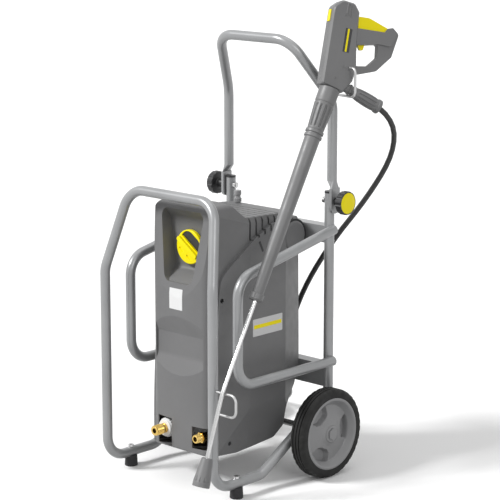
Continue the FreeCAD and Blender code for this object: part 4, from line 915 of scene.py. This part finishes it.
@dataclass
class Wheels(Assembly):
    """The two wheels on the axle: grooved tyres on deep moulded discs."""

    centre: Triple = (251.0, 381.0, 122.0)
    tyre_radius: float = 122.0
    rim_radius: float = 98.0
    tyre_half: float = 23.6
    groove: float = 3.0
    grooves: tuple[float, ...] = (10.0, 0.0, -10.0)
    bore: float = 9.4
    wall: float = 3.5
    pocket_first: float = 3.0
    pocket_half: float = 27.0
    pocket_in: float = 43.0
    pocket_out: float = 79.0
    pocket_depth: float = 16.0
    pocket_lead: float = 14.0
    pocket_growth: float = 26.0
    pocket_side: float = 5.0
    pocket_inner: float = 6.0
    pocket_outer: float = 2.0
    columns: int = 216
    lugs: int = 36
    lug_wave: Pair = (2.0, -0.6)
    lug_depth: float = 1.4
    lug_height: float = 12.5
    lug_reach: float = 9.0
    lug_fade: float = 3.0
    bead: tuple[Pair, ...] = ((-1.0, 1.6), (1.2, 0.2), (4.0, 0.0))
    shoulder: tuple[Pair, ...] = ((10.0, 0.0), (6.2, 1.2), (3.4, 3.4), (1.4, 6.0), (0.3, 9.0), (0.0, 11.0))
    web: tuple[Pair, ...] = (
        (0, 22.9), (21, 22.9), (22.5, 22.5), (24, 19.5), (34, 14.5), (60, 9.5), (77, 6.5), (78.5, 7.5),
        (89, 21.5), (91, 23.4), (93, 24.2), (96, 24.2), (97.4, 23.6), (98, 22.6),
    )
    channel: tuple[Pair, ...] = ((98, 20), (98, -20), (97, -21), (94.5, -21), (93.6, -20), (92.4, 16))
    hub: tuple[Pair, ...] = ((23.5, 10), (22.5, -24), (21.5, -25))

    def tyre(self) -> np.ndarray:
        """A tyre turned about z: flat sidewalls, round shoulders with notches, and square grooves.

        The radius is the profile's, less a cosine wave round the wheel that is cut off below and fades in
        over the shoulders.

        Returns:
            A grid in millimetres.
        """
        half, top, side = self.tyre_half, self.tyre_radius, self.groove / 2
        floor = top - self.groove
        upper = [(self.rim_radius + out, half - inwards) for out, inwards in self.bead]
        upper += [(top - down, half - inwards) for down, inwards in self.shoulder]
        middle = [
            spot for line in self.grooves
            for spot in ((top, line + side), (floor, line + side), (floor, line - side), (top, line - side))
        ]
        lower = [(radius, -height) for radius, height in reversed(upper)]

        def notch(r: np.ndarray, h: np.ndarray, a: np.ndarray) -> np.ndarray:
            """Radius less the wave, past the outer groove in height and past the wall in radius."""
            past = np.stack([np.abs(h) - self.lug_height, r - top + self.lug_reach]) / self.lug_fade
            return r - self.lug_depth * waves(a, self.lugs, *self.lug_wave) * np.clip(past, 0, 1).prod(0)

        return spun(finely(upper + middle + lower, 2.5), self.columns, notch)

    def face(self, radius: np.ndarray, angle: np.ndarray) -> np.ndarray:
        """Height of the disc's front face.

        A hub stands up in the middle, a web falls slowly from it, and a steep wall climbs from the web's
        edge to the lip. Three pockets a third of a turn apart sink into the web by a product of smooth steps,
        across their width in the angle and along their length in the radius. A smooth step is three times
        the square less twice the cube of a share from 0 to 1.

        Args:
            radius: Distances from the axle in millimetres.
            angle: Angles round it.

        Returns:
            The heights, of the same shape.
        """
        web = np.interp(radius, *zip(*self.web))
        third = 2 * np.pi / 3
        offset = np.abs((angle - math.radians(self.pocket_first) + third / 2) % third - third / 2)
        grown = np.clip((radius - self.pocket_in + self.pocket_lead) / self.pocket_growth, 0, 1)
        reach = math.radians(self.pocket_half) * grown
        across = np.clip((reach - offset) * radius / self.pocket_side, 0, 1)
        along = np.clip((radius - self.pocket_in) / self.pocket_inner, 0, 1)
        along = along * np.clip((self.pocket_out - radius) / self.pocket_outer, 0, 1)
        share = (across * across * (3 - 2 * across)) * (along * along * (3 - 2 * along))
        return web - self.pocket_depth * share

    def disc(self) -> np.ndarray:
        """The moulded disc: its front face, a rim channel, the same face a wall lower, and a hub behind.

        Returns:
            A grid in millimetres.
        """
        front = np.concatenate([(self.bore, 16, 21, 22.5), np.arange(24, 42, 1.5), np.arange(42, 98.01, 0.8)])
        back = np.arange(91.0, 25.0, -1.0)
        angle = np.linspace(0, 2 * np.pi, self.columns, endpoint=False)
        r_front, a_front = np.meshgrid(front, angle, indexing="ij")
        r_back, a_back = np.meshgrid(back, angle, indexing="ij")
        channel = np.array(self.channel, float)
        hub = np.array([*self.hub, (self.bore, self.hub[-1][1]), (self.bore, 0)], float)
        parts = [
            (r_front, a_front, self.face(r_front, a_front)),
            (channel[:, :1] + 0 * angle, a_front[:1] + 0 * channel[:, :1], channel[:, 1:] + 0 * angle),
            (r_back, a_back, self.face(r_back, a_back) - self.wall),
            (hub[:, :1] + 0 * angle, a_front[:1] + 0 * hub[:, :1], hub[:, 1:] + 0 * angle),
        ]
        r, a, z = (np.concatenate([part[k] for part in parts]) for k in range(3))
        return np.stack([r * np.cos(a), r * np.sin(a), z], -1)

    def build(self) -> None:
        """Make both tyres and discs, and dress the hub caps."""
        for side, sign in (("left", -1), ("right", 1)):
            base = machine(sign * self.centre[0], *self.centre[1:])
            for label, grid, slot in (("tyre", self.tyre(), Slot.TYRE), ("rim", self.disc(), Slot.RIM)):
                surface = laid(grid, base, Y_AXIS, Z_AXIS, X_AXIS * sign)
                piece = grid_piece(f"{label}_form_{side}", surface, True)
                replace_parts(self.paints.piece(piece, slot, f"wheel_{side}"), f"{label}_{side}")
            self.paints.nodes(Slot.RIM, (f"hub_cap_{side}",))


@dataclass
class PushHandle(Assembly):
    """Folding handle with its two clamp knobs."""

    def build(self) -> None:
        """Dress the handle and the knobs."""
        self.paints.nodes(Slot.TUBE, ("push_handle",))
        for side in ("left", "right"):
            self.paints.nodes(Slot.BLACK, (f"knob_{side}",))
            self.paints.nodes(Slot.YELLOW, (f"knob_cap_{side}",))


@dataclass
class Housing(Assembly):
    """Moulded front hood and rear housing, with the drum's end caps and the bare name plates."""

    side_plate: tuple[float, float, float, float] = (225.0, 340.0, 393.0, 440.0)
    side_x: float = 128.0
    bar_low: float = 413.5
    bar_high: float = 424.0
    bar_margin: float = 4.0
    sticker_place: tuple[float, float, float, float] = (-29.0, 19.0, 474.0, 530.0)
    slit: tuple[float, float, float, float] = (251.0, 647.0, 264.0, 620.0)
    plate_thick: float = 0.6
    bar_thick: float = 0.25
    bar_corner: float = 0.6
    corner: float = 2.0
    fine_edge: float = 0.1
    slit_width: float = 7.0
    slit_thick: float = 0.3
    slit_over: float = 2.0
    sticker_points: int = 25
    sticker_proud: float = 0.35
    sticker_sunk: float = 0.2
    bow: Triple = (70.006, 0.0010156, 0.18)
    lean: Triple = (72.48, 0.1076, 530.0)

    def plates(self) -> None:
        """The side plate with its yellow bar, both bare of any mark, on each side of the housing."""
        y0, y1, z0, z1 = self.side_plate
        for side, sign in (("left", -1), ("right", 1)):
            axes = (Y_AXIS * sign, Z_AXIS, X_AXIS * sign)
            base = machine(sign * self.side_x, (y0 + y1) / 2, (z0 + z1) / 2)
            face = laid(plate(y1 - y0, z1 - z0, self.plate_thick, self.corner), base, *axes)
            self.paints.piece(
                grid_piece(f"side_plate_{side}", face), Slot.LIGHT, "trolley",
                Print(name="plate grey", dark=(0.60, 0.60, 0.60), light=(0.66, 0.66, 0.66)),
            )
            bar_z = (self.bar_low + self.bar_high) / 2
            base = machine(sign * (self.side_x + self.plate_thick), (y0 + y1) / 2, bar_z)
            wide, high = y1 - y0 - 2 * self.bar_margin, self.bar_high - self.bar_low
            bar = laid(plate(wide, high, self.bar_thick, self.bar_corner, self.fine_edge), base, *axes)
            self.paints.piece(grid_piece(f"side_bar_{side}", bar), Slot.YELLOW, "trolley")

    def sticker(self) -> None:
        """A bare white sticker bent to the hood's front.

        The front is a parabola across the machine, and above it a plane that leans back: the sticker lies on
        whichever is further back. It goes up over the front of its grid and down behind it, and its first and
        last columns are closed.
        """
        x0, x1, z0, z1 = self.sticker_place
        rise = np.linspace(z0, z1, self.sticker_points)
        across = np.concatenate([[x0], np.linspace(x0, x1, self.sticker_points), [x1]])
        z = np.repeat(np.concatenate([rise, rise[::-1]])[:, None], len(across), axis=1)
        x = np.repeat(across[None, :], len(z), axis=0)
        stand = np.full_like(z, -self.sticker_sunk)
        stand[:len(rise), 1:-1] = self.sticker_proud
        foremost, curve, shift = self.bow
        edge, slope, edge_z = self.lean
        front = np.maximum(foremost + curve * (x + shift) ** 2, edge - slope * (edge_z - z))
        surface = laid(np.stack([x, front - stand, z], -1), machine(0, 0, 0), X_AXIS, Y_AXIS, Z_AXIS)
        self.paints.piece(
            grid_piece("front_sticker", surface, True, False), Slot.WHITE, "trolley",
            Print(name="sticker white", dark=(0.74, 0.74, 0.74), light=(0.80, 0.80, 0.80)),
        )

    def slit_shades(self) -> None:
        """A black plate on each cheek, painted shade standing in for the dark opening of its slit."""
        y0, z0, y1, z1 = self.slit
        along = Vector((0, y1 - y0, z1 - z0))
        long = along.length + self.slit_over
        for side, sign in (("left", -1), ("right", 1)):
            base = machine(sign * self.side_x, (y0 + y1) / 2, (z0 + z1) / 2)
            across = along.normalized().cross(X_AXIS)
            face = plate(self.slit_width, long, self.slit_thick, self.corner, self.fine_edge)
            face = laid(face, base, across, along.normalized(), X_AXIS * sign)
            # The black plate is painted shade: it stands in for the shaded inside of the slit, which is not
            # cut.
            self.paints.piece(grid_piece(f"cheek_slit_shade_{side}", face), Slot.BLACK, "trolley")

    def build(self) -> None:
        """Dress the mouldings and add the plates."""
        self.paints.nodes(Slot.SHELL, ("front_hood", "rear_housing", "rear_drum"))
        self.paints.nodes(Slot.BLACK, ("seal_rings", "hood_screws"))
        self.paints.nodes(Slot.RIM, ("vent_plug",))
        self.paints.nodes(Slot.CAST, ("pump_block", "motor_stator", "swash_plate", "pistons"))
        self.paints.nodes(Slot.STEEL, ("motor_rotor",))
        self.paints.nodes(Slot.BLACK, ("fan", "switch_box"))
        self.plates()
        self.sticker()
        self.slit_shades()


@dataclass
class RotarySwitch(Assembly):
    """The yellow switch knob with its black insert."""

    def build(self) -> None:
        """Dress the knob and its insert."""
        self.paints.nodes(Slot.YELLOW, ("switch_knob",))
        self.paints.nodes(Slot.BLACK, ("switch_insert",))


@dataclass(frozen=True)
class Thread:
    """A thread cut on a brass stub: its name, start, radius at the root, length and pitch."""

    name: str
    start: Triple
    radius: float
    length: float
    pitch: float

    CREST: ClassVar[float] = 0.35
    ROWS: ClassVar[int] = 10
    TURNS: ClassVar[int] = 72

    def cut(self, r: np.ndarray, h: np.ndarray, a: np.ndarray) -> np.ndarray:
        """Radius plus a triangular wave along a helix, faded at both ends."""
        wave = np.abs(((h / self.pitch - a / (2 * np.pi)) % 1.0) * 2 - 1)
        return r + self.pitch * self.CREST * wave * faded(h, 0, self.length, self.pitch)

    def piece(self) -> bpy.types.Object:
        """The thread's own piece, backwards from its start.

        Returns:
            The piece.
        """
        rows = finely([(self.radius, 0.0), (self.radius, self.length)], self.pitch / self.ROWS)
        surface = laid(spun(rows, self.TURNS, self.cut), machine(*self.start), X_AXIS, -Z_AXIS, Y_AXIS)
        return grid_piece(self.name, surface)


@dataclass
class WaterConnections(Assembly):
    """Brass fittings with cut threads, and the inlet's nut."""

    nut_radius: float = 26.6
    nut_length: float = 30.0
    nut_bore: float = 13.4
    nut_ribs: int = 22
    nut_wave: Pair = (1.4, 0.3)
    nut_rib: float = 1.6
    nut_place: Triple = (-52.0, 100.7, 140.0)
    threads: tuple[Thread, ...] = (
        Thread("inlet_thread", (-52.0, 34.5, 140.0), 13.25, 26.0, 2.3),
        Thread("outlet_thread", (74.0, 61.5, 137.0), 11.05, 17.0, 1.8),
    )

    def nut(self) -> None:
        """The inlet's nut: a turned ring whose radius swells by a cut-off cosine wave into ribs."""
        top, length = self.nut_radius, self.nut_length
        profile = [
            (self.nut_bore, 0.0), (top - 4, 0.0), (top - 1.6, 1.5), (top - 1.6, length - 6),
            (top - 3.2, length - 4), (top - 4.2, length - 0.8), (top - 5.4, length), (self.nut_bore, length),
        ]

        def rib(r: np.ndarray, h: np.ndarray, a: np.ndarray) -> np.ndarray:
            """Radius plus the wave, between both ends of the ribbed band."""
            wave = waves(a, self.nut_ribs, *self.nut_wave)
            return r + self.nut_rib * wave * faded(h, 1.0, length - 5.5, 1.5) * (r > top - 4)

        grid = spun(finely(profile, 1.2), 176, rib)
        surface = laid(grid, machine(*self.nut_place), X_AXIS, -Z_AXIS, -Y_AXIS)
        piece = grid_piece("inlet_nut_form", surface, True)
        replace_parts(self.paints.piece(piece, Slot.WHITE, "water_nut"), "inlet_nut")

    def build(self) -> None:
        """Dress the fittings and cut their threads."""
        self.paints.nodes(Slot.BRASS, ("inlet_fitting", "outlet_fitting"))
        self.nut()
        for thread in self.threads:
            self.paints.piece(thread.piece(), Slot.BRASS, "trolley")


@dataclass
class SprayGun(Assembly):
    """Gun with its trigger, latch, button, ribbed hose grip and side labels."""

    axes: GunAxes
    side: float = 19.0
    window: tuple[float, float, float, float] = (10.0, 29.0, 100.0, 163.0)
    stripe: tuple[float, float, float, float] = (16.4, 21.4, 101.0, 162.0)
    screws: tuple[tuple[float, float], ...] = ((20.0, 62.0), (2.0, 28.0), (4.0, 196.0))
    label_thick: float = 0.35
    label_edge: float = 0.15
    window_corner: float = 1.5
    stripe_corner: float = 0.5
    ribs: int = 3
    rib_first: Pair = (6.0, 214.0)
    rib_step: Pair = (7.0, -3.0)
    rib_size: tuple[float, ...] = (2.8, 30.0, 1.6, 1.4, 1.0)
    head: tuple[Pair, ...] = (
        (0, 0.35), (1.5, 0.35), (1.8, 0.0), (2.6, 0.0), (3.0, 0.45), (3.6, 0.3), (3.8, 0.0),
    )
    grip_flutes: int = 10
    grip_wave: Pair = (1.5, 0.1)
    grip_depth: float = 2.6
    grip_profile: tuple[Pair, ...] = (
        (7.7, -18), (12.5, -18), (12.5, 4), (14.5, 6), (14.5, 10), (12.5, 12), (12.5, 18), (15.5, 20),
        (15.5, 24), (14.8, 26), (16.6, 34), (17.8, 44), (18.7, 58), (19.0, 72), (18.6, 84), (17.2, 93.5),
        (18.8, 95.5), (19.5, 97), (19.5, 104), (18.8, 105), (7.7, 105),
    )

    def face(self, spot: Pair, sign: int, grid: np.ndarray, stand: float = 0.0) -> np.ndarray:
        """A grid laid on a side of the gun, at a place given along the handle and along the gun."""
        base = self.axes.spot(*spot, sign * (self.side + stand))
        return laid(grid, base, self.axes.handle * sign, self.axes.along, self.axes.across * sign)

    def labels(self) -> None:
        """A dark window with a yellow stripe on each side, three ribs above it and the screw heads."""
        h0, h1, g0, g1 = self.window
        s0, s1, t0, t1 = self.stripe
        thick, edge, head = self.label_thick, self.label_edge, finely(self.head, 0.5)
        for word, sign in (("left", -1), ("right", 1)):
            window = plate(h1 - h0, g1 - g0, thick, self.window_corner, edge)
            window = self.face(((h0 + h1) / 2, (g0 + g1) / 2), sign, window)
            self.paints.piece(grid_piece(f"gun_window_{word}", window), Slot.BLACK, "trolley")
            stripe = plate(s1 - s0, t1 - t0, thick, self.stripe_corner, edge)
            stripe = self.face(((s0 + s1) / 2, (t0 + t1) / 2), sign, stripe, thick)
            self.paints.piece(grid_piece(f"gun_stripe_{word}", stripe), Slot.YELLOW, "trolley")
            for number in range(self.ribs):
                spot = tuple(first + step * number for first, step in zip(self.rib_first, self.rib_step))
                rib = self.face(spot, sign, plate(*self.rib_size))
                self.paints.piece(grid_piece(f"gun_rib_{word}_{number}", rib), Slot.LIGHT, "trolley")
            for number, spot in enumerate(self.screws):
                screw = self.face(spot, sign, spun(head, 32))
                self.paints.piece(grid_piece(f"gun_screw_{word}_{number}", screw), Slot.LIGHT, "trolley")

    def grip(self) -> None:
        """The hose grip: a turned form with deep flutes, cosine waves cut off outside and faded away."""
        way, across = self.axes.grip_way, self.axes.across

        def flute(r: np.ndarray, h: np.ndarray, a: np.ndarray) -> np.ndarray:
            """Radius less the wave along the grip's middle."""
            wave = waves(a, self.grip_flutes, *self.grip_wave)
            return r - self.grip_depth * wave * faded(h, 30, 91, 6)

        grid = spun(finely(self.grip_profile, 1.2), 160, flute)
        surface = laid(grid, self.axes.grip_seat, across, way.cross(across), way)
        piece = grid_piece("hose_grip_form", surface, True)
        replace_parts(self.paints.piece(piece, Slot.LIGHT, "trolley"), "hose_grip")

    def build(self) -> None:
        """Dress the gun and add its grip and labels."""
        self.paints.nodes(Slot.LIGHT, ("gun_body_left", "gun_body_right"))
        self.paints.nodes(Slot.YELLOW, ("trigger", "safety_latch", "gun_button"))
        self.labels()
        self.grip()


@dataclass
class Lance(Assembly):
    """Lance grip, union nut, steel pipe and nozzle guard."""

    axes: GunAxes
    nut_bore: float = 5.9
    nut_neck: float = 27.0
    nut_low: float = 21.5
    nut_length: float = 118.0
    nut_flutes: int = 12
    nut_wave: Pair = (2.0, 0.2)
    nut_depth: float = 3.2

    def nut(self) -> None:
        """The union nut: a neck and a fluted cone, the flutes cosine waves cut off outside and faded away."""
        neck, low, length = self.nut_neck, self.nut_low, self.nut_length
        profile = finely([
            (self.nut_bore, 0.8), (neck, 0.8), (neck, 38), (neck - 0.4, 40.5), (neck - 1.6, 42),
            (neck - 1.6, 43.5), (neck - 0.4, 45), (neck - 0.6, 48), (low + 0.6, length - 3),
            (low, length - 0.5), (low - 0.6, length), (self.nut_bore, length),
        ], 1.5)

        def flute(r: np.ndarray, h: np.ndarray, a: np.ndarray) -> np.ndarray:
            """Radius less the wave below the neck."""
            wave = waves(a, self.nut_flutes, *self.nut_wave)
            return r - self.nut_depth * wave * faded(h, 49, length - 6, 4)

        up = Vector(self.axes.up).normalized()
        surface = laid(spun(profile, 168, flute), machine(*self.axes.joint), X_AXIS, up.cross(X_AXIS), -up)
        piece = grid_piece("union_nut_form", surface, True)
        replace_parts(self.paints.piece(piece, Slot.LIGHT, "lance_nut"), "union_nut")

    def build(self) -> None:
        """Dress the lance and add its nut."""
        self.paints.nodes(Slot.LIGHT, ("lance_grip", "nozzle_guard"))
        self.paints.nodes(Slot.STEEL, ("lance_pipe",))
        self.paints.nodes(Slot.CAST, ("hose_coupling",))
        self.nut()


def main() -> None:
    """Build the studio and every assembly in order."""
    logging.basicConfig(level=logging.INFO, format="%(name)s: %(message)s")
    Studio().build()
    paints, axes = Paints(), GunAxes()
    for assembly in (
        HoseLine(paints, axes), Trolley(paints), Wheels(paints), PushHandle(paints), Housing(paints),
        RotarySwitch(paints), WaterConnections(paints), SprayGun(paints, axes), Lance(paints, axes),
    ):
        assembly.build()
        LOG.info("built %s", type(assembly).__name__)


if __name__ == "__main__":
    main()
